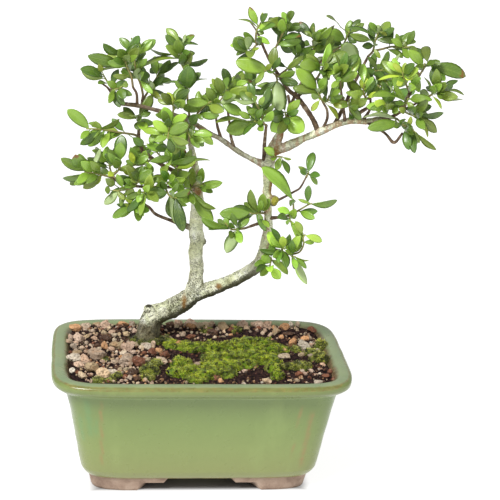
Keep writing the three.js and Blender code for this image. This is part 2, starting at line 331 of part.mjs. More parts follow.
    [[0.3, 45, 3, 173, 16, 8.5, 0], [1.65, 48, 3, 176, 14, 5, 35], [0.3, 40, 2, 161, 15, 5.5, -40],
    [1.95, 54, -9, 174, 11, 6, 0], [0.35, 68, -4, 169, 12, 5, 0], [2.9, 73, -11, 140, 21, 7.5, 145],
    [2.35, 65, -2, 148, 11, 4, -25], [2.95, 74, -6, 155, 11, 4, 60], [2.1, 64, 2, 167, 9, 4, 0],
    [0.95, 62, -12, 185, 10, 5, 0], [0.95, 81, -12, 171, 12, 5.5, 0], [0.8, 76, -11, 170, 8, 3.5, 0]], 0],
  ['spray_middle_06', [[[45.5, 17.5, 151], [49, 8, 152.5], [48, 4, 149.5], [48, 3, 147]]],
    [[0.95, 41, -1, 157, 11, 6.5, 0], [0.95, 41, 0, 142, 9, 5, 0], [0.95, 55, 0, 140, 10, 7, 0]], 0],
  ['spray_left_low_01', [[[-62.5, -19.5, 215.5], [-66.5, -24, 218], [-72.5, -26, 220], [-78, -27, 221],
  [-81.5, -27, 221.5]]],
    [[0.95, -97, -29, 231, 18, 6.5, 0], [0.95, -87, -32, 234, 14, 9, 0], [0.75, -83, -35, 230, 15, 7, 0],
    [0.9, -71, -22, 236, 14, 5, 155], [0.85, -96, -27, 216, 17, 6, -40], [0.8, -91, -23, 212, 14, 5.5, 0],
    [0.4, -77, -31, 229, 14, 6, 0], [0.4, -76, -28, 213, 9, 5, 0]], 0],
  ['spray_left_low_02', [[[-60, -18, 213.5], [-63.5, -13, 217.5], [-65, -10, 223], [-66, -8, 227]],
  [[-62.5, -14.5, 216], [-58.5, -18, 221.5], [-57.5, -19, 227]]],
    [[0.9, -73, -12, 227, 8, 5.5, 0], [0.95, -69, -6, 231, 6, 4.5, 0], [0.6, -59, -9, 232, 12, 8, 0],
    [1.95, -57, -16, 244, 16, 9, 0], [1.95, -58, -23, 241, 13, 8, 0], [1.45, -51, -20, 224, 9, 4, 0],
    [1.45, -65, -21, 217, 7, 4.5, 0], [1.5, -50, -14, 217, 10, 3.5, 40]], 1],
  ['spray_left_low_03', [[[-35.5, 11, 222], [-40, 3, 220.5], [-45, -3, 220.5], [-49, -6, 222]]],
    [[0.95, -51, -8, 231, 9, 4.5, 0], [0.9, -39, -8, 228, 11, 6, 0], [0.3, -23, 3, 225, 15, 5.5, 0],
    [0.45, -35, 0, 215, 7, 5.5, 0]], 1],
  ['spray_left_low_04', [[[-47.5, -10.5, 208], [-46.5, -16, 211.5], [-45, -18, 214]], [[-47, -12, 208.5],
  [-53, -19, 208], [-58.5, -23, 208], [-62.5, -24, 208.5]]],
    [[0.65, -37, -20, 222, 14, 7.5, 0], [0.85, -51, -20, 215, 6, 4, 0], [1.95, -68, -26, 209, 4, 5.5, 0],
    [1.65, -66, -26, 216, 12, 5.5, 0], [1.4, -64, -13, 203, 13, 4.5, 45], [1.8, -68, -25, 199, 13, 6, 180],
    [1.85, -55, -27, 203, 7, 4, 0]], 1],
  ['spray_left_low_05', [[[-43, 6, 192.5], [-46, 1, 192.5], [-48, -1, 192]]],
    [[0.95, -54, -3, 198, 9, 3.5, 0], [0.95, -47, -3, 200, 8, 3.5, 0], [0.75, -42, 3, 198, 8, 3.5, 0],
    [0.95, -62, -4, 184, 15, 6, 0], [0.85, -41, -3, 185, 9, 5.5, 0], [0.7, -39, 4, 190, 8, 4, 0],
    [0.95, -54, -7, 195, 8, 2.5, 0]], 0],
  ['spray_left_low_06', [[[-40.5, -6.5, 206.5], [-40, -13, 206], [-42.5, -17, 205]]],
    [[0.85, -27, -20, 206, 16, 7.5, 0], [0.95, -46, -19, 199, 7, 4.5, 0], [0.8, -37, -20, 201, 7, 4.5, 0],
    [0.85, -46, -19, 206, 5, 4.5, 0]], 1],
  ['spray_left_low_07', [[[-26.5, 3, 204], [-25.5, -6, 203], [-24, -11, 201.5], [-19.5, -14, 201]]],
    [[0.6, -22, -10, 186, 15, 8, 0], [0.75, -18, -16, 183, 20, 8, 180], [0.95, -14, -12, 177, 23, 8.5, 0],
    [0.55, -16, -12, 196, 13, 8, 0], [0.5, -33, -3, 199, 9, 5.5, 0]], 0],
  ['spray_left_low_08', [[[-5.5, 24.5, 198.5], [-8, 14, 200.5], [-9.5, 10, 199]], [[-7, 18, 200],
  [-3, 10, 204], [0.5, 7, 205.5]]],
    [[0.95, 7, 7, 178, 25, 9, 0], [0.95, 9, 14, 185, 20, 7, 65], [1.55, 13, 6, 207, 17, 6, 0],
    [0.8, -13, 9, 191, 11, 7.5, 0], [0.95, -5, 14, 189, 11, 5.5, 0]], 0],
  ['spray_left_low_09', [[[-18.5, 18, 210.5], [-22, 6, 209.5], [-25, 0, 207.5], [-27, -3, 205.5]]],
    [[0.8, -36, -2, 212, 12, 5.5, 0], [0.65, -30, -1, 218, 12, 5.5, 0], [0.55, -19, 1, 218, 10, 4.5, 0],
    [0.85, -18, -5, 208, 8, 6, 0], [0.95, -33, -6, 206, 7, 5.5, 0]], 1],
  ['spray_left_low_10', [[[-14, 20.5, 206], [-18.5, 10, 215], [-23, 4, 219.5], [-26, 1, 221.5]]],
    [[0.95, -6, -1, 226, 19, 6.5, 35], [0.5, 4, 13, 222, 21, 7.5, -65], [0.5, -6, 7, 221, 15, 5.5, 25],
    [0.85, -30, 1, 215, 9, 6, 0]], 1],
  ['spray_back_01', [[[-16, 56, 206.5], [-21.5, 61, 209], [-27, 66, 210.5], [-31.5, 65, 215.5],
  [-37, 63, 220]], [[-21, 60.5, 208.5], [-19, 60, 215], [-22, 58, 220.5]]],
    [], 5],
  ['spray_back_02', [[[-11.5, 54, 218], [-11.5, 52, 225.5], [-13.5, 50, 233.5]]],
    [], 3],
];

// Repeatable random numbers from 0 to 1
function randomFrom(seed) {
  let state = seed >>> 0;
  return () => {
    state = (state + 0x6d2b79f5) >>> 0;
    let mixed = Math.imul(state ^ (state >>> 15), state | 1);
    mixed = (mixed + Math.imul(mixed ^ (mixed >>> 7), mixed | 61)) ^ mixed;
    return ((mixed ^ (mixed >>> 14)) >>> 0) / 4294967296;
  };
}

// Turns a list of points and triangles into a manifold solid
function solidFrom(points, triangles) {
  return new wasm.Manifold(new wasm.Mesh({
    numProp: 3,
    vertProperties: new Float32Array(points.flat()),
    triVerts: new Uint32Array(triangles.flat()),
  }));
}

// Turns a closed three.js geometry into a manifold solid
function solidFromGeometry(geometry) {
  const bare = geometry.clone();
  bare.deleteAttribute('normal');
  bare.deleteAttribute('uv');
  const merged = mergeVertices(bare, 1e-4);
  return new wasm.Manifold(new wasm.Mesh({
    numProp: 3,
    vertProperties: new Float32Array(merged.attributes.position.array),
    triVerts: new Uint32Array(merged.index.array),
  }));
}

function geometryFrom(solid) {
  const mesh = solid.getMesh();
  const geometry = new THREE.BufferGeometry();
  geometry.setAttribute('position', new THREE.BufferAttribute(new Float32Array(mesh.vertProperties), 3));
  geometry.setIndex(new THREE.BufferAttribute(new Uint32Array(mesh.triVerts), 1));
  geometry.computeVertexNormals();
  return geometry;
}

// The body with the largest volume, without loose scraps
function largestBody(solid) {
  return solid.decompose().reduce((best, body) => (body.volume() > best.volume() ? body : best));
}

function joined(solids) {
  return solids.reduce((whole, solid) => whole.add(solid));
}

// Skins rings with equal numbers of points, and closes both ends
function loft(rings) {
  const count = rings[0].length;
  const last = (rings.length - 1) * count;
  const triangles = [];
  for (let r = 0; r < last; r += count) {
    for (let i = 0; i < count; i += 1) {
      const a = r + i;
      const b = r + ((i + 1) % count);
      triangles.push([a, b, b + count], [a, b + count, a + count]);
    }
  }
  for (let i = 1; i + 1 < count; i += 1) {
    triangles.push([0, i + 1, i], [last, last + i, last + i + 1]);
  }
  return solidFrom(rings.flat(), triangles);
}

// Rounded oblong outline of the pot at one height
function potRing(z, inset, squareness, scale = 1) {
  const ring = [];
  for (let i = 0; i < RING_POINTS; i += 1) {
    const angle = ((i + 0.5) / RING_POINTS) * 2 * Math.PI;
    const power = (value) => Math.sign(value) * Math.abs(value) ** (2 / squareness);
    ring.push([
      scale * (POT_WIDE / 2 - inset) * power(Math.cos(angle)),
      scale * (POT_DEEP / 2 - inset) * power(Math.sin(angle)),
      z,
    ]);
  }
  return ring;
}

function box(x, y, z, wide, deep, tall) {
  return solidFromGeometry(new THREE.BoxGeometry(wide, deep, tall).translate(x, y, z));
}

// Four bracket feet: a ring under the pot's floor with stepped gaps on all sides
function potFeet() {
  const inside = FOOT_INSET_BOTTOM + FOOT_THICK;
  const ring = (z, inset) => potRing(z, inset, FOOT_SQUARENESS);
  let feet = loft([ring(0, FOOT_INSET_BOTTOM), ring(FOOT_TALL, FOOT_INSET_TOP)]);
  feet = feet.subtract(loft([ring(-1, inside), ring(FOOT_TALL + 1, inside)]));
  for (const [height, floorX, topX, floorY, topY] of FOOT_STEPS) {
    feet = feet.subtract(wedge([floorX, POT_DEEP], [topX, POT_DEEP], height));
    feet = feet.subtract(wedge([POT_WIDE, floorY], [POT_WIDE, topY], height));
  }
  return feet;
}

// Block from just under the floor up to a height, of one half size at the floor and another on top
function wedge(floorHalf, topHalf, height) {
  const rectangle = ([x, y], z) => [[-x, -y, z], [x, -y, z], [x, y, z], [-x, y, z]];
  return loft([rectangle(floorHalf, -1), rectangle(floorHalf, 0), rectangle(topHalf, height)]);
}

function potSolid() {
  const outside = loft(OUTER_RINGS.map(([z, inset, square]) => potRing(z, inset, square)));
  const mouth = [POT_TALL + 2, ...INNER_RINGS[0].slice(1)];
  const hollowRings = [...INNER_RINGS].reverse().concat([mouth]);
  const hollow = loft(hollowRings.map(([z, inset, square]) => potRing(z, inset, square)));
  const drills = [-DRAIN_HOLE_X, DRAIN_HOLE_X].map((x) => {
    const radius = DRAIN_HOLE_RADIUS;
    const drill = new THREE.CylinderGeometry(radius, radius, 2 * FLOOR_TOP, DRAIN_HOLE_SIDES);
    return solidFromGeometry(drill.rotateX(Math.PI / 2).translate(x, 0, FLOOR_TOP));
  });
  return largestBody(outside.subtract(hollow).add(potFeet()).subtract(joined(drills)));
}

// Plastic mesh plate over a drain hole
function screenSolid(x) {
  const middle = FLOOR_TOP + GAP + SCREEN_THICK / 2;
  const plate = box(x, 0, middle, SCREEN_SIDE, SCREEN_SIDE, SCREEN_THICK);
  const pitch = SCREEN_SIDE / SCREEN_BARS;
  const holes = [];
  for (let i = 0; i < SCREEN_BARS; i += 1) {
    for (let j = 0; j < SCREEN_BARS; j += 1) {
      const across = (i + 0.5) * pitch - SCREEN_SIDE / 2;
      const along = (j + 0.5) * pitch - SCREEN_SIDE / 2;
      holes.push(box(x + across, along, middle, SCREEN_HOLE, SCREEN_HOLE, 2 * SCREEN_THICK));
    }
  }
  return plate.subtract(joined(holes));
}

// Height of the soil's surface: mounded towards the trunk, with low waves
function soilHeight(x, y) {
  const mound = SOIL_MOUND * Math.exp(-((x + 20) ** 2 / 3600 + (y - 20) ** 2 / 1600));
  const waves = 0.5 * Math.sin(x / 9 + 1) * Math.cos(y / 7) + 0.35 * Math.sin(x / 4.3 - y / 5.1);
  return SOIL_LEVEL + mound + waves;
}

// One stone: a flattened, uneven lump, sunk a little into the soil
function stoneSolid([x, y, size, flatness], random) {
  const geometry = new THREE.IcosahedronGeometry(size / 2, 0);
  geometry.scale(1, 0.7 + 0.2 * random(), flatness);
  geometry.rotateX(0.4 * (random() - 0.5)).rotateZ(2 * Math.PI * random());
  return solidFromGeometry(geometry.translate(x, y, soilHeight(x, y) + 0.24 * size * flatness));
}

// Distance from the middle of the large moss patch to its outline in a direction
function mossEdge(angle) {
  const turn = 2 * Math.PI;
  const corners = MOSS_OUTLINE.map(([x, y]) => {
    const [dx, dy] = [x - MOSS_MIDDLE[0], y - MOSS_MIDDLE[1]];
    return { behind: (angle - Math.atan2(dy, dx) + 2 * turn) % turn, reach: Math.hypot(dx, dy) };
  });
  const before = corners.reduce((best, c) => (c.behind < best.behind ? c : best));
  const after = corners.reduce((best, c) => (c.behind > best.behind ? c : best));
  const part = before.behind / (before.behind + turn - after.behind);
  return before.reach + part * (after.reach - before.reach);
}

// Cushion of moss: rings from its edge inwards, lumpy on top
function mossCushion(middle, edgeAt, count) {
  const ring = (scale, z) => Array.from({ length: count }, (_, i) => {
    const angle = (i / count) * 2 * Math.PI;
    const reach = scale * edgeAt(angle);
    const x = middle[0] + reach * Math.cos(angle);
    const y = middle[1] + reach * Math.sin(angle);
    return [x, y, z(x, y, angle)];
  });
  const top = (lift) => (x, y) => soilHeight(x, y) + lift
    + 0.5 * Math.sin(x / 3.1 + y / 4.7) + 0.4 * Math.cos(y / 2.9 - x / 5.3);
  return loft([
    ring(1, () => SOIL_LEVEL - 8),
    ring(1, top(0.35 * MOSS_THICK)),
    ring(0.9, top(0.8 * MOSS_THICK)),
    ring(0.66, top(MOSS_THICK)),
    ring(0.36, top(1.15 * MOSS_THICK)),
  ]);
}

// Tube through points of x, y, z, radius, with a few sides and closed ends
function tube(path, sides, extra = 0, unevenness = 0, seed = 1) {
  const random = randomFrom(seed);
  const centres = path.map((p) => new THREE.Vector3(p[0], p[1], p[2]));
  const rings = [];
  let side = null;
  centres.forEach((centre, i) => {
    const before = centres[Math.max(0, i - 1)];
    const after = centres[Math.min(centres.length - 1, i + 1)];
    const along = after.clone().sub(before).normalize();
    side ??= new THREE.Vector3(0.31, -0.83, 0.46).cross(along);
    side = side.sub(along.clone().multiplyScalar(side.dot(along))).normalize();
    const other = along.clone().cross(side);
    rings.push(Array.from({ length: sides }, (_, k) => {
      const angle = (k / sides) * 2 * Math.PI;
      const radius = path[i][3] * (1 + unevenness * (random() - 0.5)) + extra;
      return centre.clone()
        .addScaledVector(side, radius * Math.cos(angle))
        .addScaledVector(other, radius * Math.sin(angle))
        .toArray();
    }));
  });
  return loft(rings);
}

// Wood grown as one piece, and the same wood made fatter to cut clearances
function woodSolid(extra) {
  return joined(LIMBS.map(([sides, path], i) => tube(path, sides, extra, WOOD_UNEVENNESS, 100 + i)));
}

function pathLengths(path) {
  const lengths = [0];
  for (let i = 1; i < path.length; i += 1) {
    lengths.push(lengths[i - 1] + Math.hypot(...[0, 1, 2].map((k) => path[i][k] - path[i - 1][k])));
  }
  return lengths;
}

// Point and direction at a distance along a path, which goes on straight past its end
function pathPoint(path, distance) {
  const lengths = pathLengths(path);
  let i = 1;
  while (i + 1 < path.length && lengths[i] < distance) {
    i += 1;
  }
  const start = new THREE.Vector3(...path[i - 1].slice(0, 3));
  const run = new THREE.Vector3(...path[i].slice(0, 3)).sub(start);
  const part = (distance - lengths[i - 1]) / (lengths[i] - lengths[i - 1]);
  return { point: start.addScaledVector(run, part), along: run.normalize() };
}

// A leaf's own axes: along it, across it, and out of its upper face
function leafAxes(root, tip, roll) {
  const along = tip.clone().sub(root).normalize();
  const face = SIGHT.clone().negate();
  face.addScaledVector(along, -face.dot(along));
  if (face.length() < 0.2) {
    face.set(0, 0, 1).addScaledVector(along, -along.z);
  }
  face.normalize().applyAxisAngle(along, THREE.MathUtils.degToRad(roll));
  return { along, face, across: along.clone().cross(face) };
}

function leafOutline(long) {
  return long < SMALL_LEAF_LONG ? SMALL_LEAF : LARGE_LEAF;
}

// Corner points of the leaf's plate: four at each width of its outline, and its tip
function leafSections({ root, tip, long, wide, roll }) {
  const { along, face, across } = leafAxes(root, tip, roll);
  const start = root.distanceTo(tip) - long;
  const half = LEAF_THICK / 2;
  const corner = (distance, aside, lift) => root.clone().addScaledVector(along, distance)
    .addScaledVector(across, aside).addScaledVector(face, lift);
  const sections = leafOutline(long).map(([part, share]) => {
    const distance = start + part * long;
    const arch = LEAF_ARCH * long * Math.sin(Math.PI * part);
    const aside = 0.5 * wide * share;
    return [[-1, -1], [-1, 1], [1, 1], [1, -1]].map(([u, v]) => corner(distance, u * aside, arch + v * half));
  });
  return { sections, end: corner(start + long, 0, 0) };
}

// Points spread over a leaf, to test how far it is from its neighbours
function leafSamples({ root, tip, long, wide, roll }) {
  const { along, across } = leafAxes(root, tip, roll);
  const whole = root.distanceTo(tip);
  const stalk = Math.max(0, whole - long);
  const samples = [];
  for (let d = 1.5; d <= whole + 0.5; d += SAMPLE_STEP) {
    const part = (d - stalk) / (whole - stalk);
    const half = part <= 0 ? 0 : 0.5 * wide * Math.sin(Math.PI * Math.min(1, part) ** 1.35);
    const steps = Math.ceil(half / SAMPLE_STEP);
    for (let k = -steps; k <= steps; k += 1) {
      const aside = steps ? (half * k) / steps : 0;
      const point = root.clone().addScaledVector(along, d).addScaledVector(across, aside);
      samples.push({ point, near: d < ROOT_ZONE });
    }
  }
  return samples;
}

function distanceToSegment(point, a, b) {
  const run = b.clone().sub(a);
  const part = THREE.MathUtils.clamp(point.clone().sub(a).dot(run) / run.lengthSq(), 0, 1);
  return point.distanceTo(a.clone().addScaledVector(run, part));
}

// Straight pieces of a path, each with its radius and a group number
function segmentsOf(path, group, radius) {
  return path.slice(1).map((end, i) => ({
    a: new THREE.Vector3(...path[i].slice(0, 3)),
    b: new THREE.Vector3(...end.slice(0, 3)),
    radius: radius ?? Math.max(path[i][3], end[3]),
    group,
  }));
}

// Placed leaves, sorted into a coarse grid so that a new leaf only meets its neighbours
class LeafField {
  constructor(segments) {
    this.segments = segments;
    this.cells = new Map();
  }

  key(point, dx = 0, dy = 0, dz = 0) {
    const cell = (v, d) => Math.floor(v / 4) + d;
    return `${cell(point.x, dx)},${cell(point.y, dy)},${cell(point.z, dz)}`;
  }

  clear(samples, group) {
    return samples.every(({ point, near }) => {
      for (let dx = -1; dx <= 1; dx += 1) {
        for (let dy = -1; dy <= 1; dy += 1) {
          for (let dz = -1; dz <= 1; dz += 1) {
            for (const other of this.cells.get(this.key(point, dx, dy, dz)) ?? []) {
              const own = other.group === group;
              const limit = own ? OWN_CLEARANCE : LEAF_CLEARANCE;
              if (!(own && (near || other.near)) && other.point.distanceTo(point) < limit) {
                return false;
              }
            }
          }
        }
      }
      return this.segments.every((s) => (s.group === group && near)
        || distanceToSegment(point, s.a, s.b) > s.radius + (s.group === group ? 0.6 : WOOD_CLEARANCE));
    });
  }

  add(samples, group) {
    for (const { point, near } of samples) {
      const key = this.key(point);
      if (!this.cells.has(key)) {
        this.cells.set(key, []);
      }
      this.cells.get(key).push({ point, near, group });
    }
  }
}

// Spreads the leaves' roots along a stem, so that each has its own short stretch of it
function spreadRoots(leaves, path) {
  const lengths = pathLengths(path);
  const whole = lengths[lengths.length - 1];
  leaves.sort((p, q) => p.distance - q.distance);
  leaves.forEach((leaf, i) => {
    const least = i ? leaves[i - 1].distance + ROOT_PITCH : FIRST_ROOT;
    leaf.distance = Math.max(leaf.distance, least);
  });
  for (let i = leaves.length - 1, most = whole - ROOT_PITCH / 2; i >= 0; i -= 1, most -= ROOT_PITCH) {
    leaves[i].distance = Math.max(Math.min(leaves[i].distance, most), FIRST_ROOT + i * ROOT_PITCH);
    most = Math.min(most, leaves[i].distance);
  }
  for (const leaf of leaves) {
    Object.assign(leaf, pathPoint(path, leaf.distance));
  }
}

// Every leaf that a spray wants: those in its table row, and more by seeded draws
function wantedLeaves([, stems, rows, count], group) {
  const random = randomFrom(1000 + 17 * group);
  const wanted = stems.map(() => []);
  const reach = stems.map((stem) => pathLengths(stem).pop());
  rows.forEach(([at, x, y, z, long, wide, roll], order) => {
    const stem = Math.min(stems.length - 1, Math.floor(at));
    const tip = new THREE.Vector3(x, y, z);
    const distance = (at - stem) * reach[stem];
    wanted[stem].push({ group, stem, order, distance, named: tip, long, wide, roll });
  });
  for (let i = 0; i < count; i += 1) {
    const stem = i % stems.length;
    const [distance, long, start, lean, roll] = [random(), random(), random(), random(), random()];
    wanted[stem].push({
      group, stem, order: rows.length + i, distance: (0.3 + 0.65 * distance) * reach[stem], named: null,
      long: ADDED_LEAF_LEAST + ADDED_LEAF_SPREAD * long, roll: 80 * (roll - 0.5),
      wide: ADDED_LEAF_SLIMNESS * (ADDED_LEAF_LEAST + ADDED_LEAF_SPREAD * long),
      start: 2 * Math.PI * start, lean: 0.35 + 0.5 * lean,
    });
  }
  wanted.forEach((leaves, i) => spreadRoots(leaves, stems[i]));
  return wanted.flat().sort((p, q) => p.order - q.order);
}

// Places to try for a leaf's tip: along the line of sight for a named one, around the stem for others
function tipChoices(leaf) {
  if (leaf.named) {
    return SLIDES.map((slide) => leaf.named.clone().addScaledVector(SIGHT, slide));
  }
  const aside = new THREE.Vector3(0.2, 0.5, 0.84).cross(leaf.along).normalize();
  return Array.from({ length: TURNS }, (_, turn) => {
    const out = aside.clone().applyAxisAngle(leaf.along, leaf.start + turn * TURN);
    out.addScaledVector(leaf.along, leaf.lean).add(new THREE.Vector3(0, 0, 0.25)).normalize();
    return leaf.point.clone().addScaledVector(out, leaf.long + 2);
  });
}

// Puts each leaf at its first clear place: all named ones first, then the others
function placeLeaves() {
  const wood = LIMBS.flatMap(([, path]) => segmentsOf(path, -1));
  const stemSegments = (stem, group) => segmentsOf(stem, group, TWIG_RADIUS);
  const twigs = SPRAYS.flatMap(([, stems], group) => stems.flatMap((stem) => stemSegments(stem, group)));
  const field = new LeafField([...wood, ...twigs]);
  const wanted = SPRAYS.flatMap((spray, group) => wantedLeaves(spray, group));
  const placed = SPRAYS.map(() => []);
  for (const leaf of [...wanted.filter((w) => w.named), ...wanted.filter((w) => !w.named)]) {
    for (const tip of tipChoices(leaf)) {
      const long = Math.min(leaf.long, leaf.point.distanceTo(tip) - 0.5);
      const trial = { ...leaf, root: leaf.point, tip, long };
      const samples = leafSamples(trial);
      if (Math.abs(tip.y) < CROWN_DEPTH && field.clear(samples, leaf.group)) {
        field.add(samples, leaf.group);
        placed[leaf.group].push(trial);
        break;
      }
    }
  }
  return placed;
}

// Places along a stem where its skin has a ring: the path's corners, and both sides of each leaf's root
function stemStops(path, leaves) {
  const lengths = pathLengths(path);
  const last = Math.max(0, ...leaves.map((leaf) => leaf.distance + ROOT_HALF + 0.3));
  const whole = Math.max(lengths[lengths.length - 1], last);
  const inLeaf = (d) => leaves.some((leaf) => Math.abs(leaf.distance - d) < ROOT_HALF + 0.15);
  const corners = lengths.slice(1, -1).filter((d) => d < whole - 0.5 && !inLeaf(d));
  const stops = [0, ...corners, whole].map((d) => ({ d, leaf: null }));
  for (const leaf of leaves) {
    stops.push({ d: leaf.distance - ROOT_HALF, leaf }, { d: leaf.distance + ROOT_HALF, leaf: null });
  }
  return stops.sort((p, q) => p.d - q.d);
}

// Three corners of the stem's skin at each stop, turned so that one side faces where a leaf grows
function stemCorners(path, stops) {
  const whole = stops[stops.length - 1].d;
  const third = (2 * Math.PI) / 3;
  const points = [];
  let side = null;
  let twist = 0;
  for (const stop of stops) {
    const { point, along } = pathPoint(path, stop.d);
    side ??= new THREE.Vector3(0.31, -0.83, 0.46).cross(along);
    side = side.sub(along.clone().multiplyScalar(side.dot(along))).normalize();
    const other = along.clone().cross(side);
    if (stop.leaf) {
      const away = stop.leaf.tip.clone().sub(stop.leaf.root);
      const wanted = Math.atan2(away.dot(other), away.dot(side)) - Math.PI / 3;
      twist += wanted - twist - third * Math.round((wanted - twist) / third);
      stop.faceSide = ((Math.round((wanted - twist) / third) % 3) + 3) % 3;
    }
    const radius = TWIG_RADIUS + (TWIG_TIP_RADIUS - TWIG_RADIUS) * (stop.d / whole);
    for (let k = 0; k < 3; k += 1) {
      const angle = twist + k * third;
      points.push(point.clone().addScaledVector(side, radius * Math.cos(angle))
        .addScaledVector(other, radius * Math.sin(angle)));
    }
  }
  return points;
}

// A stem of three sides with its leaves grown out of them, as one closed skin
function stemSolid(path, leaves) {
  const stops = stemStops(path, leaves);
  const points = stemCorners(path, stops);
  const triangles = [];
  stops.slice(0, -1).forEach((stop, i) => {
    for (let k = 0; k < 3; k += 1) {
      const next = (k + 1) % 3;
      const [a, b, c, d] = [3 * i + k, 3 * i + next, 3 * i + 3 + next, 3 * i + 3 + k];
      if (stop.leaf && stop.faceSide === k) {
        growLeaf(points, triangles, [a, b, c, d], stop.leaf);
      } else {
        triangles.push([a, b, c], [a, c, d]);
      }
    }
  });
  const end = 3 * (stops.length - 1);
  triangles.push([0, 2, 1], [end, end + 1, end + 2]);
  return solidFrom(points.map((p) => p.toArray()), triangles);
}

// Skins a leaf from four corners of its stem to its tip
function growLeaf(points, triangles, corners, leaf) {
  const { sections, end } = leafSections(leaf);
  const spread = (turn) => corners.reduce((sum, c, k) => sum
    + points[c].distanceTo(sections[0][(k + turn) % 4]), 0);
  const turn = [0, 1, 2, 3].reduce((best, t) => (spread(t) < spread(best) ? t : best));
  let ring = [0, 1, 2, 3].map((k) => corners[(k + 4 - turn) % 4]);
  for (const section of sections) {
    const next = section.map((p) => points.push(p) - 1);
    for (let k = 0; k < 4; k += 1) {
      const [a, b, c, d] = [ring[k], ring[(k + 1) % 4], next[(k + 1) % 4], next[k]];
      if (k === 3) {
        triangles.push([a, b, d], [b, c, d]);
      } else {
        triangles.push([a, b, c], [a, c, d]);
      }
    }
    ring = next;
  }
  const tip = points.push(end) - 1;
  ring.forEach((corner, k) => triangles.push([corner, ring[(k + 1) % 4], tip]));
}

// One spray: its stems joined, and cut back to stand just clear of the wood
function spraySolid(stems, leaves, fatWood) {
  const skins = stems.map((stem, i) => stemSolid(stem, leaves.filter((leaf) => leaf.stem === i)));
  return largestBody(joined(skins).subtract(fatWood));
}

const COLOURS = {
  glaze: { color: 0x8fa468, roughness: 0.28, metalness: 0 },
  plastic: { color: 0x2e3330, roughness: 0.6, metalness: 0 },
  soil: { color: 0x4a3a33, roughness: 0.95, metalness: 0 },
  moss: { color: 0x86a535, roughness: 0.95, metalness: 0 },
  bark: { color: 0xa39b86, roughness: 0.85, metalness: 0 },
  leaf: { color: 0x5f8f35, roughness: 0.45, metalness: 0 },
};

const plant = new THREE.Group();

function addPart(name, solid, colour) {
  const mesh = new THREE.Mesh(geometryFrom(solid), new THREE.MeshStandardMaterial(COLOURS[colour]));
  mesh.name = name;
  plant.add(mesh);
}

// Soil that fills the pot's hollow with a small gap all round, up to its uneven surface
function soilBlock() {
  const fit = GAP + 0.1;
  const [, edgeInset, edgeSquareness] = INNER_RINGS[2];
  const walls = INNER_RINGS.slice(3).reverse()
    .map(([z, inset, square]) => potRing(Math.max(z, FLOOR_TOP + GAP), inset + fit, square));
  const edge = potRing(SOIL_LEVEL - SOIL_EDGE_DROP, edgeInset + fit, edgeSquareness);
  const surface = SOIL_RING_SCALES.map((scale) => edge.map(
    ([x, y]) => [x * scale, y * scale, soilHeight(x * scale, y * scale)]));
  return loft([...walls, edge, ...surface]);
}

function soilAndMoss(stump) {
  const recesses = [-DRAIN_HOLE_X, DRAIN_HOLE_X].map((x) => box(
    x, 0, FLOOR_TOP, SCREEN_SIDE + 2 * GAP, SCREEN_SIDE + 2 * GAP, 2 * (SCREEN_THICK + 2 * GAP)));
  const random = randomFrom(12);
  const stones = STONES.map((stone) => stoneSolid(stone, random));
  const soil = largestBody(joined([soilBlock(), ...stones]).subtract(joined(recesses)).subtract(stump));
  const lifted = soil.translate([0, 0, MOSS_LIFT]);
  const large = mossCushion(MOSS_MIDDLE, mossEdge, MOSS_LARGE_SIDES);
  const patchEdge = (angle) => MOSS_PATCH[2] * (1 + MOSS_PATCH_WAVE * Math.sin(3 * angle));
  const small = mossCushion(MOSS_PATCH, patchEdge, MOSS_SMALL_SIDES);
  addPart('soil', soil, 'soil');
  addPart('moss_large', largestBody(large.subtract(lifted).subtract(stump)), 'moss');
  addPart('moss_small', largestBody(small.subtract(lifted)), 'moss');
}

const fatWood = woodSolid(GAP + 0.05);
addPart('pot', potSolid(), 'glaze');
addPart('drain_screen_left', screenSolid(-DRAIN_HOLE_X), 'plastic');
addPart('drain_screen_right', screenSolid(DRAIN_HOLE_X), 'plastic');
soilAndMoss(fatWood);
addPart('tree', woodSolid(0), 'bark');
placeLeaves().forEach((leaves, i) => addPart(SPRAYS[i][0], spraySolid(SPRAYS[i][1], leaves, fatWood), 'leaf'));

plant.position.set(POT_MIDDLE_X, 0, 0);
export default plant;
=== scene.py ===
"""Firethorn bonsai in an oblong glazed pot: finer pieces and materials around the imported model.

Lengths below are millimetres from the middle of the pot, with the pot's feet on z = 0.
"""
import math

import bmesh
import bpy
import numpy as np
from mathutils import Matrix, Vector, noise


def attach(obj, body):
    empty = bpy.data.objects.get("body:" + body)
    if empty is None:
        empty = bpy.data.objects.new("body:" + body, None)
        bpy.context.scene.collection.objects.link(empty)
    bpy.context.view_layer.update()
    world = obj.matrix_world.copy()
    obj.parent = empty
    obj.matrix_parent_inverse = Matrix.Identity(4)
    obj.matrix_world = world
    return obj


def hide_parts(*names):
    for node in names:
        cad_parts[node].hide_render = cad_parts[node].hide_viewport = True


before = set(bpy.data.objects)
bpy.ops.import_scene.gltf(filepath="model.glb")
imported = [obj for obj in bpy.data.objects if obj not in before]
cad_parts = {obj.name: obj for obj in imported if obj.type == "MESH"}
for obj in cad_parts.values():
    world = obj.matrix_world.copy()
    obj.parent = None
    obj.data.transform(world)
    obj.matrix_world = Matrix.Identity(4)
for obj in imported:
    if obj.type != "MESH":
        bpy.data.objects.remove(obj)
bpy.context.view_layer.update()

# Pot and its filling. The frame's x is 0 midway between the pot's left rim and the crown's right
# end, so the pot's own middle lies to the left of it
POT_MIDDLE_X = -34.5
POT_WIDE = 205
POT_DEEP = 141
POT_TALL = 86
FLOOR_TOP = 18
SOIL_LEVEL = 82.4
SOIL_MOUND = 0.6
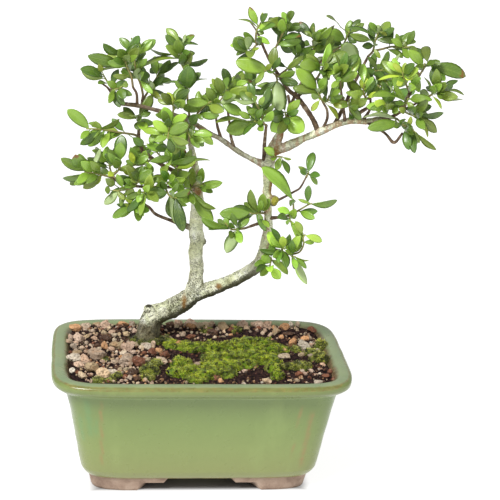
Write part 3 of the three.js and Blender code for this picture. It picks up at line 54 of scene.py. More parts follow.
# Each ring of the wall: height, inset from the rim's outline, squareness of the outline
OUTER_RINGS = [
    [10.4, 24.2, 7.2], [12.4, 22.4, 7.2], [15.6, 20.6, 7.4], [20, 19.6, 7.5], [48, 14.8, 8], [74.4, 9.6, 8.5],
    [76, 7, 8], [78.4, 3, 7], [80.8, 0.6, 6.6], [84.4, 0.1, 6.6], [86, 2, 6.6],
]
RIM_TOP_RINGS = [[86.35, 4.2, 6.9], [86.3, 6.8, 7.2]]
INNER_RINGS = [
    [86, 8.4, 7.6], [84.8, 10.2, 8], [78, 15.6, 8], [70, 17, 8], [32, 24, 7.5], [20, 28, 7],
    [FLOOR_TOP, 31, 7],
]
FOOT_INSET_TOP = 25
FOOT_INSET_BOTTOM = 27.6
FOOT_SQUARENESS = 7
FOOT_THICK = 11
FOOT_TALL = 11.5
# Steps of the gap between two feet: height, half length at the floor and at that height along
# the long side, and the same two along the short side
FOOT_STEPS = [[10.3, 30, 20, 19, 9], [6.3, 43.5, 38, 25.5, 20]]
MOSS_MIDDLE = (22, -6)
MOSS_OUTLINE = [
    [-38, -36], [-34, -17], [-22, 14], [-14, 26], [3, 23], [25, 38], [37, 42], [54, 32], [65, 8], [69, -20],
    [66, -38], [56, -49], [39, -51], [27, -25], [15, -41], [0, -50], [-10, -52], [-21, -46], [-27, -37],
]
MOSS_PATCH = (79, -14)

# Marks on the front of the wall: x and z of both ends, half width
DRIPS = [(-79, 74, -75, 44, 2.2), (-72, 58, -71, 46, 1.2), (-83, 60, -80, 40, 1.2)]
STREAKS = [(-69, 72, -67.5, 22, 0.9), (74, 64, 68.5, 20, 1.4), (66, 68, 64, 52, 0.7), (63, 40, 62, 26, 0.6)]
# Loose stones: half length and half depth of the area where the small ones lie, and of the one
# that holds the large ones whole
SPREAD_X = 89
SPREAD_Y = 57
STONES_TO_X = 92
STONES_TO_Y = 60
TRUNK_FOOT = (-35, 34)
TRUNK_CLEAR = 11
STONE_SEED = 71
SMALL_STONES = 4200
SMALL_TONES = "ppggkccopgrd"
GRIT_GRAINS = 2100
GRIT_TONES = "ddrdkrdo"
# Planes that cut a stone, and its growth for each fineness of the ball it is cut from
STONE_PLANES = 9
STONE_GROWTH = {1: 1.3, 2: 1.52, 3: 1.52}
MOSS_SEED = 72
CUSHION_WIDER = 1.1
CUSHION_TALLER = 1.2
TUFT_REACH = 14

# Wood: the first limbs, two of the last and the cut end are melted into one skin
LARGE_LIMBS = 5
END_LIMBS = 3
# The cut end of a branch, turned a little more to the front
CUT_END = [[46, 13, 194.5, 2.8], [49, 9, 194, 4], [49.6, 7.8, 194, 4]]
# Size of the skin's voxels in metres
SKIN_VOXEL = 0.00055
# Rusty stains on the bark: x, z, half width, half height
STAINS = [
    (-9.9, 114.9, 2.6, 7), (14.3, 127.2, 3.4, 3), (-2, 197, 4.0, 6), (47.2, 203, 2.2, 12),
    (-2.5, 186, 1.6, 3), (49, 228, 5, 10), (53, 243, 5, 12),
]

# Leaves: how they are placed, by the same rule as in the part's source
LEAF_ARCH = 0.06
ROOT_PITCH = 1.35
FIRST_ROOT = 3.5
ROOT_ZONE = 2.6
TURNS = 7
TURN = 2.4
TWIG_RADIUS = 0.85
TWIG_TIP_RADIUS = 0.5
LEAF_CLEARANCE = 3.1
OWN_CLEARANCE = 1.9
WOOD_CLEARANCE = 1.7
SAMPLE_STEP = 2.2
SIGHT = np.array([0.105, 0.952, -0.288])
SLIDES = [0, 3, -3, 6, -6, 9, -9, 12, -12, 16, -16]
CROWN_DEPTH = 69
LEAF_SEED = 1000
# Named leaves that found no place are tried once more, closer to the others
LAST_CLEARANCE = 0.4
# Further, smaller leaves of the scene
EXTRA_SEED = 4242
EXTRA_ROUNDS = 17
EXTRA_SHARE = 0.8
EXTRA_MOST = 2.4
EXTRA_LONG = 0.85
EXTRA_WIDE = 0.9
EXTRA_CLEARANCE = 0.46
EXTRA_TURNS = 12

# Forms and tones of the leaves. Tones are display values of red, green and blue
BLADE_SEED = 5000
TONES = {
    "m": (112, 144, 50), "d": (76, 108, 38), "b": (140, 176, 62), "p": (134, 162, 74), "y": (166, 186, 64),
    "o": (120, 142, 54), "t": (88, 116, 42),
}
UNDERSIDE = (168, 188, 130)
BROWN_TIPS = 0.03
BLADE_PLACES = [0, 0.08, 0.2, 0.35, 0.5, 0.62, 0.75, 0.86, 0.94, 1.0]
BLADE_WIDTHS = [0.05, 0.26, 0.60, 0.86, 0.99, 1.0, 0.89, 0.68, 0.42, 0.06]
BLADE_STEPS = 17
COLUMNS = [-1, -0.55, 0, 0.55, 1]
# Sprays whose leaves are painted paler: painted light that lifts the shade they lie in
PAINTED_LIGHT_SPRAYS = (
    "right_top_13", "right_top_14", "right_top_18", "right_top_19", "right_top_24", "middle_03",
    "middle_04", "middle_05", "middle_06", "left_low_03", "left_low_05", "left_low_06", "left_low_09",
    "left_low_10", "back_01",
)
PAINTED_LIGHT_GAIN = 1.2

# Stage: the floor's glow goes from the near to the far strength between two distances, in metres
FLOOR_NEAR = 0.35
FLOOR_FAR = 1.4
FLOOR_GLOW_NEAR = 0.88
FLOOR_GLOW_FAR = 1.05
# Half length and half depth of the painted shadow under the pot, a dark oblong where the floor does not glow,
# in metres
POT_SHADOW_HALF_X = 0.0749
POT_SHADOW_HALF_Y = 0.0429
# Lights: the sky's strength and the power of both lamps
WORLD_STRENGTH = 0.4
KEY_POWER = 38
FILL_POWER = 3
# The camera fitted to the photograph: its directions, its place and its lens
CAMERA_RIGHT = (0.994421, -0.097795, 0.039536)
CAMERA_UP = (-0.009463, 0.290585, 0.956802)
CAMERA_AHEAD = (0.105059, 0.951839, -0.288038)
CAMERA_PLACE = (-88.209, -1098.250, 493.126)
CAMERA_LENS = 120.39

# Paths of the wood: each point is x, y, z, radius
LIMBS = [
    # trunk with its root flare
    [[-35.5, 34.5, 60, 8], [-35.5, 34.3, 76, 9.4], [-35.2, 34, 82.2, 8.8], [-33.1, 33.2, 95.4, 8.1],
     [-29.7, 32.6, 101.1, 7.5], [-23.7, 32, 104.2, 6.8], [-13.6, 30.2, 110.2, 6.9], [-4, 28, 118, 6.7]],
    # right limb, rising to the top
    [[-4, 28, 118, 6], [9, 27, 123.5, 4.9], [22.5, 25, 130, 4.6], [33.5, 22, 137, 4.6],
     [40.5, 20, 143.5, 4.5], [44, 18, 152, 4], [45.5, 17, 160.5, 3.5], [47, 16, 172, 3.2],
     [46, 15, 185.5, 3.1], [45, 14, 197, 3], [45, 13, 209.5, 3.6], [45, 12, 222, 4.3], [47, 11, 230, 4.2],
     [50.5, 10, 239, 2.9], [53, 8, 246, 2], [55, 6, 252, 1.5], [56.5, 4, 260, 1.2], [54.5, 0, 270, 1]],
    # left stem
    [[-4, 28, 118, 6], [-2, 28, 127.5, 5.3], [-1.5, 28, 137, 5], [-2, 27.5, 148.5, 4.9],
     [-2, 27, 159.5, 5.1], [-3, 26.5, 170, 5.4], [-2, 26, 182, 4.6], [-2.5, 25, 193, 4.2],
     [-3.5, 24, 205.5, 3.2], [-5, 23, 215, 2.4], [-7.5, 21, 224.5, 2], [-10, 18, 233.5, 1.6],
     [-12.5, 14, 243, 1.2]],
    # long limb to the left
    [[44.5, 12, 217.5, 3], [30.5, 10, 224, 1.9], [19.5, 7, 231, 1.8], [11, 4, 237.5, 1.8],
     [0.5, 0, 243.5, 1.8], [-10.5, -4, 251.5, 1.6], [-23, -6, 256.5, 1.6], [-34.5, -7, 259.5, 1.5],
     [-46, -6, 262, 1.5], [-54, -4, 262.5, 1.4], [-59, -2, 263, 1.3], [-63, 0, 267.5, 1.1],
     [-67, 2, 272.5, 0.9], [-72.5, 4, 275.5, 0.6]],
    # long limb to the right
    [[46.5, 11, 228, 3.5], [55, 8, 232, 3.2], [69, 4, 240, 2.7], [85.5, -2, 249.5, 2.4],
     [94.5, -5, 253.5, 2.2], [100.5, -7, 254.5, 2.1], [107, -9, 254.5, 2], [114.5, -12, 257, 1.7],
     [121.5, -14, 258.5, 1.4], [129.5, -17, 264, 1.2], [137.5, -18, 269, 0.9], [146, -18, 274, 0.7]],
    # smaller limbs and twigs
    [[129.5, -17, 264, 1.2], [134, -14, 274.5, 1.3], [138.5, -12, 283, 1]],
    [[107, -9, 254.5, 1.2], [118, -20, 249.5, 0.9], [124, -24, 244, 1.1], [129, -26, 251, 0.8]],
    [[76, 1, 245.5, 1.9], [73.5, 8, 251.5, 1.8], [67.5, 10, 260, 1.7], [62, 11, 266.5, 1.6],
     [56, 12, 271, 1.4], [51, 13, 278, 1.2], [44.5, 14, 287.5, 1.1], [39, 15, 297.5, 1],
     [35.5, 16, 305.5, 0.8], [32.5, 17, 311, 0.6], [28, 18, 316.5, 0.4]],
    [[45, 14, 287, 0.9], [45, 12.5, 292.5, 0.7]],
    [[62, 11, 266.5, 1.3], [68, 3, 275, 1.1], [73.5, -4, 283.5, 0.8]],
    [[86, -2, 249.5, 1.6], [95, 10, 262, 1.3], [103, 18, 277.5, 1.1], [111, 20, 294, 0.9]],
    [[56.5, 4, 260, 1.2], [65, 20, 273, 1.1], [79.5, 31, 287, 0.8]],
    [[94.5, -5, 253.5, 1.6], [110, 16, 257.5, 1.3], [126.5, 32, 262, 0.8]],
    [[53, 8, 246, 1.6], [41.5, 26, 252.5, 1.3], [30, 38, 259, 0.8]],
    [[41.5, 11, 222, 1.6], [40.5, 5, 234.5, 1.3], [40, -5, 250, 1]],
    [[11, 4, 237.5, 1.2], [8, 2, 246, 1], [6.5, 0, 252.5, 0.8]],
    [[20, 7, 231.5, 1.2], [17.5, 5, 239, 1], [16, 3, 248.5, 0.9], [14.5, 2, 257, 0.8]],
    [[79, 1, 246, 1.2], [81, -5, 255, 1], [80, -9, 262, 0.9], [77.5, -11, 266.5, 0.8]],
    [[93.5, -5, 253, 1.2], [91, -11, 262.5, 1], [88.5, -16, 272, 0.9], [87, -18, 279, 0.8]],
    [[105, -8, 255.5, 1.2], [108.5, -12, 263.5, 0.9], [108, -15, 271.5, 0.8]],
    [[-42.5, 8, 228, 1.3], [-45, 7, 237.5, 1.2], [-44.5, 5, 248.5, 1.1], [-43.5, 3, 260, 1.1],
     [-43, 1, 268, 0.8]],
    [[-47, -6, 262.5, 1.1], [-47.5, -6.5, 270, 0.9], [-50, -7, 274.5, 0.8]],
    [[-5.5, 26, 168.5, 2.5], [-20.5, 20, 175.5, 1.3], [-31.5, 14, 181.5, 1.1], [-36.5, 10, 187.5, 1],
     [-43, 6, 192.5, 0.8]],
    [[-3, 24, 196.5, 2.2], [-10.5, 22, 202.5, 1.7], [-18.5, 18, 210.5, 1.6], [-28, 14, 216.5, 1.5],
     [-35.5, 11, 222, 1.4], [-42.5, 8, 228, 1.3]],
    [[-3, 25, 196.5, 1.8], [-12, 16, 201, 1.2], [-26.5, 3, 204, 1.1], [-43, -8, 207, 1],
     [-56.5, -16, 211, 0.8], [-62.5, -19.5, 215.5, 0.7]],
    [[-3, 25, 192, 2.2], [-8.5, 42, 199, 1.5], [-16, 56, 206.5, 0.9]],
    [[-4, 24, 209.5, 1.6], [-7.5, 40, 214, 1.2], [-11.5, 54, 218, 0.8]],
    [[46.5, 16, 176.5, 2], [38.5, 6, 178, 1.2], [28.5, -4, 177.5, 0.8]],
    [[46.5, 15, 179.5, 1.6], [56.5, 8, 182.5, 0.8]],
    [[46, 14, 189.5, 1.6], [54.5, 12, 194.5, 0.9], [62.5, 8, 200.5, 0.8], [66.5, 6, 204, 0.7],
     [70, 4, 212, 0.6]],
    [[45.5, 17, 157, 1.8], [53, 8, 158.5, 1]],
    # old knob on the trunk
    [[-32.5, 32, 102, 3.6], [-34.7, 31, 107.4, 3.7], [-35, 30.8, 109, 3]],
    # snag on the left stem
    [[-1.5, 27, 157.5, 3.2], [4, 27, 159, 2.4]],
    # cut end of a branch
    [[45.5, 14, 194.5, 2.6], [49.5, 10, 194, 3.4], [50.4, 9, 193.9, 3.3]],
]

# Stones seen in the photograph: x, y, width, tone, height as a part of the width
STONES = [
    (-85.8, 42.7, 6.9, "o", 0.8), (-90.5, 31.3, 4.2, "p", 0.9), (-84.9, 24.1, 6.9, "p", 0.9),
    (-90.7, 21.1, 3.7, "g", 0.8), (-86.9, 11.7, 4.2, "g", 0.8), (-81.5, 8.8, 3.7, "g", 0.9),
    (-85.3, -1.4, 5.1, "k", 0.8), (-87, -16.3, 7.9, "w", 0.6), (-89.5, 1.9, 2.8, "r", 0.8),
    (-82.9, -26.6, 6.5, "p", 0.6), (-87.8, -35, 4.2, "w", 0.7), (-81.4, -45.2, 6, "c", 0.8),
    (-84.7, -37.6, 2.8, "r", 0.9), (-71.5, -5.3, 12.5, "g", 0.75), (-79, -15.5, 6.5, "p", 0.7),
    (-75.5, -32.9, 8.3, "k", 0.8), (-67.9, -37.7, 7.6, "c", 1.1), (-61.4, -32.9, 6.9, "w", 0.5),
    (-65.4, 13.3, 5.8, "o", 0.9), (-61, 9, 4.6, "p", 0.7), (-56.8, 17.1, 7.6, "k", 0.5),
    (-48.7, 10.7, 7.9, "p", 0.9), (-52.7, 2, 4.2, "w", 0.8), (-52.2, -13.3, 9.2, "g", 0.7),
    (-43.2, -17.6, 7.6, "r", 0.8), (-46.8, -37.1, 7.4, "d", 0.6), (-44.5, -45.8, 5.5, "d", 0.6),
    (-39.5, -48.1, 3.2, "c", 1), (-77.8, 32.5, 4.6, "k", 0.5), (-78.2, 47.3, 6, "g", 0.7),
    (-73.7, 42.5, 3.2, "g", 0.8), (-63.9, 50.5, 6.2, "p", 0.9), (-60.2, 40.8, 4.6, "p", 0.7),
    (-64.9, 32.1, 6.5, "d", 0.6), (-51.6, 63.1, 7.9, "o", 0.5), (-44.7, 60.4, 5.5, "g", 0.7),
    (-50, 37.1, 4.6, "k", 0.8), (-57.5, 6.8, 2.5, "w", 0.8), (-43.1, 23, 3.9, "k", 0.8),
    (-40.2, 13.7, 3.7, "c", 0.9), (-35.7, 15.3, 5.8, "w", 0.8), (-47.4, 30.1, 6, "d", 0.4),
    (-53.7, 52.2, 5.1, "d", 0.7), (-70.8, 56.2, 5.1, "k", 0.7), (-31.5, 18.7, 4.2, "g", 0.9),
    (-32.6, 4, 6, "r", 0.7), (-27.9, 8, 5.1, "o", 0.8), (-23.9, -1.3, 5.1, "r", 0.9),
    (-26.2, -12.3, 6.9, "g", 0.6), (-20.7, -13.2, 2.1, "p", 1), (-36.8, -12.1, 4.6, "k", 0.8),
    (-13.9, 18.2, 4.6, "o", 1), (-1, -19.6, 7.4, "p", 0.45), (2.6, -30.4, 3.7, "o", 0.7),
    (9, -44.2, 5.5, "r", 0.7), (10.9, -49.4, 3.7, "o", 0.8), (-17.4, 63.6, 5.5, "d", 0.7),
    (-10.7, 66.6, 6.2, "p", 0.9), (-14.9, 58.2, 2.8, "c", 0.7), (-2.8, 64.4, 8.3, "p", 0.6),
    (-2.2, 50.7, 5.1, "o", 0.9), (4, 52.4, 6.9, "c", 0.75), (8.8, 65.3, 6.5, "c", 0.5),
    (13.6, 56.8, 4.2, "g", 1), (20.2, 50.8, 6.9, "k", 0.7), (13.3, 39.8, 6.9, "d", 0.8),
    (-4.1, 35.5, 6, "r", 0.5), (-22.9, 38.1, 2.8, "r", 0.9), (-20.6, 45.6, 2.1, "c", 1),
    (35.6, 61.3, 7.6, "p", 0.6), (46, 61.1, 8.4, "p", 0.6), (53.1, 53.7, 8.1, "p", 0.7),
    (59.4, 42.9, 5.6, "k", 0.9), (66.8, 51, 6.4, "o", 0.7), (72.4, 62.6, 4.6, "w", 1),
    (77, 57.5, 3, "w", 1.4), (68.2, 40.9, 6.6, "d", 0.3), (69, 24.6, 5.1, "o", 1.1),
    (62.6, 34.9, 3, "o", 0.9), (79.5, 32.9, 5.8, "o", 0.8), (76.6, 16.6, 7.4, "w", 0.9),
    (61.3, 8.7, 3.6, "o", 1), (60.3, -3.7, 7.6, "c", 0.4), (82.7, 25.6, 2.3, "w", 1),
    (85.4, 13.1, 3, "w", 0.6), (66.8, -37, 4.3, "r", 0.9), (84.3, -38.4, 4.6, "r", 0.5),
    (88.3, -30.7, 3, "r", 0.9), (89, -42.9, 3, "r", 0.7), (77.1, -50.6, 4.8, "w", 0.5),
    (43.3, -50.9, 5.6, "c", 0.7), (63.2, -48.7, 4.6, "c", 0.6), (58.5, -47.6, 2.5, "c", 0.7),
    (34.5, -17, 3.6, "r", 0.6), (34.1, -22.5, 3.6, "w", 0.5), (86.9, 49.1, 5.6, "r", 0.6),
    (81, -34.3, 2, "w", 1), (39.3, -50.1, 2.3, "w", 0.8), (26.8, -52, 2.5, "w", 0.5),
]
# Cushions of moss: x, y, radius, height, tone
CUSHIONS = [
    (-17.8, 19.5, 5.6, 2.9, "g"), (-8.8, 15.3, 7.1, 3.1, "g"), (0.2, 12.3, 7.1, 4, "g"),
    (10, 10, 7.9, 4.3, "g"), (19.9, 9.7, 7.9, 4.6, "g"), (29, 15.9, 7.9, 4.6, "g"),
    (38, 20.1, 7.9, 4.6, "g"), (46.5, 18.2, 7.9, 4.6, "g"), (53.5, 10, 7.1, 4.6, "g"),
    (60.7, 10.4, 4.8, 2.6, "g"), (9.3, -7.7, 7.1, 4, "g"), (19.8, -8.4, 7.1, 4.6, "g"),
    (29.8, -6.4, 7.9, 4.6, "g"), (39.6, -6.3, 7.9, 4.6, "g"), (47.5, -12.2, 7.1, 4.6, "g"),
    (14.4, -23.2, 7.9, 3.8, "g"), (22.7, -23.5, 6.3, 4.1, "g"), (31.5, -18.3, 7.1, 3.1, "g"),
    (4, -23.7, 5.6, 4.2, "g"), (-13.7, -19.8, 6.3, 4.1, "g"), (-8.4, -33.8, 7.9, 4.6, "g"),
    (-15.9, -34.3, 5.6, 3.4, "g"), (-0.5, -38.7, 7.1, 4, "g"), (7.1, -36.9, 6.3, 4.1, "g"),
    (14.7, -35.7, 7.1, 3.1, "g"), (-5, -45.5, 6.3, 1.8, "g"), (49.5, -25.5, 4.8, 4.3, "g"),
    (50.3, -42.7, 4, 4.4, "g"), (61.8, -21.6, 4, 2.8, "o"), (69.5, -21.6, 6.3, 2.8, "o"),
    (70.2, 11.4, 4, 1.9, "o"), (84.8, -7.4, 5.6, 4.2, "o"), (93.4, 18.6, 4, 4.6, "o"),
    (81, 6.5, 4.8, 2.6, "o"), (-35.6, -32, 5.6, 4.6, "o"), (-31.5, -18.4, 4, 2.8, "o"),
    (-37.4, -44.9, 4, 2.8, "o"), (-71, -49.6, 4, 1.9, "o"), (-63, -49.2, 3.2, 1.6, "o"),
    (-22.3, 28.2, 4.8, 2.6, "d"), (-29.9, 34.4, 4.8, 2.6, "d"), (-37.5, 24.5, 5, 2.2, "d"),
    (-44, 29.5, 4, 2.4, "d"), (-30, 24, 4, 2, "d"), (8, 46, 4, 1.6, "o"), (-66, -8, 3, 1.4, "o"),
    (30, 48, 4, 1.8, "o"), (-58, -40, 3.4, 1.6, "o"),
]

# Sprays: name, stems, leaves, and the number of leaves added by rule in the part itself.
# A leaf: place on the stems, tip x, y, z, blade length, width, turn from facing the front, tone
SPRAYS = [
    ["left_top_01",
     [[[-50, -7, 274.5], [-51.5, -8, 282.5], [-54.5, -9, 289], [-56.5, -10, 296.5], [-58, -11, 300.5]]],
     [(0.55, -80, -13, 296, 23, 8.5, 0, "m"), (0.55, -82, -6, 280, 25, 9, 75, "o"),
      (0.75, -60, -18, 302, 13, 7, 0, "m"), (0.65, -61, -5, 293, 7, 3.5, 0, "o"),
      (0.3, -63, -14, 283, 13, 4.5, -35, "o")], 2],
    ["left_top_02",
     [[[-43, 1, 268], [-44.5, -1, 274.5], [-47.5, -2, 282.5], [-49, -2, 290.5], [-49, -3, 298.5]]],
     [(0.95, -52, -3, 307, 8, 2, 25, "o"), (0.6, -55, 4, 287, 10, 4.5, 0, "d"),
      (0.3, -40, 5, 283, 12, 7.5, 0, "d"), (0.3, -48, -13, 289, 18, 6.5, 205, "p"),
      (0.3, -37, -9, 271, 12, 4.5, 0, "b"), (0.8, -46, 1, 298, 8, 2, 40, "o")], 2],
    ["left_top_03",
     [[[-63, 0, 267.5], [-64.5, -5, 273.5], [-67, -8, 278], [-70, -9, 283.5]],
      [[-64.5, -5, 273.5], [-60.5, -11, 274], [-57.5, -14, 276.5]]],
     [(0.8, -72, -10, 289, 10, 4, 0, "y"), (1.75, -67, -17, 280, 11, 5, 0, "m"),
      (1.95, -56, -20, 269, 10, 7.5, 0, "d"), (1.95, -53, -10, 277, 6, 4, 0, "o"),
      (1.6, -65, -9, 271, 5, 2.5, 0, "o")], 1],
    ["left_top_04",
     [[[-42.5, 2, 265], [-39.5, 8, 268.5], [-36.5, 12, 273], [-33, 15, 278], [-31, 17, 283.5]]],
     [(0.3, -38, -6, 279, 19, 6.5, 155, "p"), (0.3, -32, -4, 267, 12, 4.5, 0, "y"),
      (0.85, -38, 20, 282, 11, 5.5, 0, "d"), (0.3, -24, 11, 260, 18, 6.5, -60, "d"),
      (0.95, -37, 21, 288, 8, 2.5, 0, "o")], 2],
    ["left_top_05",
     [[[-11.5, -4, 252], [-13.5, -5, 266.5], [-13.5, -3, 272.5], [-14.5, 0, 282], [-18.5, 0, 291],
       [-18.5, -1, 299], [-18, -2, 304.5]]],
     [(0.4, -14, -12, 290, 19, 12.5, 0, "d"), (0.8, -46, -3, 288, 26, 9.5, 65, "o"),
      (0.8, -39, 5, 298, 17, 6, -70, "o"), (0.75, -27, 6, 283, 14, 5, 40, "d"),
      (0.75, -21, -6, 307, 15, 8, 0, "m"), (0.95, -16, -2, 310, 6, 2.5, 180, "p"),
      (0.95, -7, 2, 302, 11, 4, -45, "d"), (0.8, -9, 5, 296, 10, 4, 0, "m"),
      (0.7, 0, 6, 292, 16, 6, 55, "d"), (0.45, 0, 4, 279, 14, 5, -65, "d"),
      (0.4, -30, 2, 277, 17, 6, 65, "d")], 2],
    ["left_top_06",
     [[[-23, -6, 256.5], [-25, -16, 253.5], [-26.5, -25, 249.5], [-27.5, -31, 245.5]],
      [[-24.5, -12, 254.5], [-23.5, -17, 262], [-24, -19, 268.5]]],
     [(0.5, -30, -23, 265, 13, 8, 0, "b"), (0.95, -37, -30, 257, 14, 7, 0, "b"),
      (0.95, -15, -34, 256, 16, 9, 0, "b"), (0.95, -44, -25, 251, 16, 6, 25, "b"),
      (0.95, -36, -31, 244, 9, 5, 0, "b"), (0.95, -24, -25, 235, 12, 5.5, 0, "d"),
      (1.85, -28, -20, 274, 9, 5, 0, "y"), (1.85, -20, -20, 272, 7, 3.5, 0, "y"),
      (1.8, -34, -15, 268, 10, 4, 0, "o")], 2],
    ["left_top_07",
     [[[-10.5, -4, 251.5], [-13.5, -14, 248.5], [-12, -20, 244]],
      [[-11.5, -8, 250.5], [-7.5, -13, 258.5], [-3, -15, 264.5], [1.5, -16, 268]]],
     [(0.35, 4, -13, 238, 16, 6, 0, "b"), (0.9, -6, -23, 238, 15, 5, 30, "b"),
      (0.95, -10, -18, 252, 8, 4.5, 0, "d"), (0.95, -3, -26, 243, 10, 5.5, 0, "b"),
      (1.95, -15, -19, 268, 17, 6.5, 0, "m"), (1.55, -17, -11, 263, 13, 6, 0, "b"),
      (1.45, -4, -18, 256, 6, 4, 0, "m"), (1.8, 2, -13, 260, 6, 4.5, 0, "d"),
      (1.95, -7, -13, 273, 8, 2, -40, "o")], 1],
    ["left_top_08",
     [[[6.5, 0, 252.5], [5.5, -3, 259.5], [6.5, -4, 263.5], [9.5, -5, 268], [12.5, -5, 273.5]]],
     [(0.45, 18, -10, 271, 15, 5.5, 180, "p"), (0.6, 23, -9, 258, 16, 7.5, 0, "b"),
      (0.3, 1, -1, 255, 5, 2.5, 0, "y"), (0.95, 1, -2, 272, 12, 4, 35, "m"),
      (0.85, 3, 0, 279, 9, 4, 0, "o")], 1],
    ["left_top_09",
     [[[14.5, 2, 257], [14, 6, 262], [15, 11, 267], [17, 13, 271.5], [20.5, 14, 276]]],
     [(0.7, 11, 16, 274, 7, 2.5, 0, "y"), (0.8, 24, 17, 277, 9, 5, 0, "d"),
      (0.85, 27, 7, 277, 10, 4.5, 0, "b"), (0.35, 24, 15, 265, 11, 4, 0, "m")], 2],
    ["left_top_10",
     [[[-45, 7, 237.5], [-48.5, 2, 240.5], [-57.5, -6, 243.5], [-66, -11, 246], [-73.5, -14, 247.5],
       [-80.5, -16, 248]]],
     [(0.3, -42, -1, 234, 9, 6, 0, "d"), (0.8, -59, -18, 256, 17, 6, 55, "o"),
      (0.75, -80, -15, 242, 11, 5.5, 0, "b"), (0.7, -79, -10, 235, 16, 5.5, -20, "b"),
      (0.45, -71, -12, 248, 15, 5.5, 40, "o"), (0.95, -93, -17, 261, 19, 8, 0, "b")], 0],
    ["left_top_11",
     [[[-44.5, 5, 248.5], [-46.5, -2, 251.5], [-45.5, -5, 255]]],
     [(0.95, -60, -7, 256, 15, 5.5, 0, "o"), (0.35, -46, -3, 245, 7, 5.5, 0, "m"),
      (0.95, -38, -7, 258, 9, 4, 0, "m")], 1],
    ["right_top_01",
     [[[30, 38, 259], [26, 40, 260.5], [22, 42, 262], [18, 40, 266.5], [14.5, 38, 270]],
      [[26.5, 39.5, 260], [33.5, 46, 264.5], [39, 49, 269]]],
     [(1.95, 19, 47, 271, 17, 6, 20, "o"), (0.8, 12, 36, 272, 7, 3, 0, "y"),
      (0.65, 11, 44, 260, 9, 4, 0, "m")], 3],
    ["right_top_02",
     [[[40, -5, 250], [35, -12, 253.5], [30.5, -16, 255]],
      [[38, -8, 251.5], [35, -15, 260.5], [31.5, -19, 266.5], [29.5, -20, 272]]],
     [(0.95, 12, -19, 249, 18, 11.5, 0, "b"), (0.4, 29, -7, 256, 8, 6, 0, "d"),
      (0.95, 20, -20, 262, 10, 4.5, 0, "b"), (0.95, 6, -12, 252, 24, 8.5, 70, "o"),
      (1.35, 29, -17, 267, 13, 6.5, 0, "d"), (1.7, 36, -21, 273, 8, 4, 0, "o"),
      (1.95, 26, -18, 281, 10, 6, 0, "d"), (1.9, 16, -24, 272, 16, 5.5, 225, "p"),
      (1.95, 23, -25, 276, 9, 3.5, 0, "y")], 1],
    ["right_top_03",
     [[[49.5, 13, 280.5], [46.5, 7, 282], [42, 3, 285.5], [37.5, 1, 286]],
      [[46.5, 7, 282], [47, 4, 280], [46.5, 1, 278]]],
     [(0.8, 18, -2, 293, 23, 10.5, 0, "b"), (0.95, 32, -2, 278, 10, 4, 0, "o"),
      (1.6, 49, -2, 259, 21, 11.5, 180, "p"), (1.6, 36, 6, 270, 14, 5, 25, "d"),
      (0.9, 42, -2, 291, 8, 4, 0, "y")], 0],
    ["right_top_04",
     [[[37.5, 15.5, 301.5], [33, 11, 301.5], [29.5, 8, 298.5], [25.5, 6, 296.5]],
      [[33, 11, 301.5], [32, 9, 307], [32.5, 8, 312.5], [35.5, 8, 318]]],
     [(0.85, 17, 5, 307, 13, 10.5, 0, "m"), (0.95, 27, 0, 309, 13, 6.5, 180, "p"),
      (0.8, 34, 2, 301, 8, 2.5, 0, "y"), (1.65, 41, 5, 317, 10, 5.5, 0, "b"),
      (1.55, 37, 4, 311, 6, 3.5, 0, "m"), (1.4, 41, 4, 304, 10, 4, 0, "b"),
      (1.7, 20, 10, 319, 14, 5, 65, "o"), (1.95, 36, 8, 324, 6, 2, -25, "y")], 0],
    ["right_top_05",
     [[[45, 12.5, 292.5], [45.5, 11, 298.5], [48.5, 9, 306.5], [52, 8, 314], [54.5, 7, 319.5]]],
     [(0.3, 53, 15, 317, 18, 6.5, 0, "d"), (0.75, 61, 6, 318, 12, 4, 0, "m"),
      (0.8, 66, 12, 314, 14, 5, 65, "d"), (0.65, 62, 14, 312, 12, 4.5, -20, "d"),
      (0.3, 62, 6, 306, 16, 6, 0, "m"), (0.3, 57, 9, 299, 13, 5, 45, "d")], 1],
    ["right_top_06",
     [[[49, 13, 280.5], [54.5, 18, 283.5], [60.5, 22, 288.5], [64.5, 24, 293.5], [68.5, 25, 297.5]]],
     [(0.3, 65, 12, 294, 15, 5.5, 30, "o"), (0.8, 73, 21, 299, 11, 4, -50, "b"),
      (0.3, 45, 23, 289, 11, 4, 0, "d"), (0.4, 59, 24, 277, 10, 5, 0, "d"),
      (0.95, 65, 29, 303, 8, 4, 0, "d")], 2],
    ["right_top_07",
     [[[77.5, -11, 266.5], [75, -14, 270.5], [72.5, -15, 275.5]],
      [[76, -12.5, 268.5], [79, -15, 269.5], [79.5, -17, 273.5]]],
     [(0.75, 57, -18, 291, 24, 9.5, 0, "b"), (0.65, 56, -10, 277, 16, 6.5, 0, "m"),
      (0.95, 66, -10, 285, 12, 5.5, 0, "o"), (0.3, 69, -17, 276, 13, 5, 45, "y"),
      (0.55, 78, -16, 284, 12, 4.5, 0, "m"), (1.5, 85, -18, 278, 10, 3.5, -20, "y"),
      (1.45, 91, -17, 273, 12, 4.5, 20, "y"), (0.3, 89, -14, 264, 8, 4, 0, "y"),
      (0.3, 69, -13, 262, 9, 4, 0, "y"), (0.3, 88, -9, 256, 12, 4.5, -40, "y"),
      (1.45, 86, -21, 270, 8, 4, 0, "b")], 1],
    ["right_top_08",
     [[[73.5, -4, 283.5], [75, -10, 289.5], [76.5, -13, 294]]],
     [(0.95, 60, -16, 292, 17, 9.5, 0, "b"), (0.95, 60, -10, 294, 17, 6, 50, "o"),
      (0.75, 80, -14, 284, 9, 4.5, 0, "o"), (0.95, 82, -11, 301, 9, 2.5, 0, "o")], 2],
    ["right_top_09",
     [[[73.5, 26.5, 281.5], [73.5, 25, 289.5], [74, 25, 295], [73, 23, 301.5], [73, 21, 309], [72, 20, 313]]],
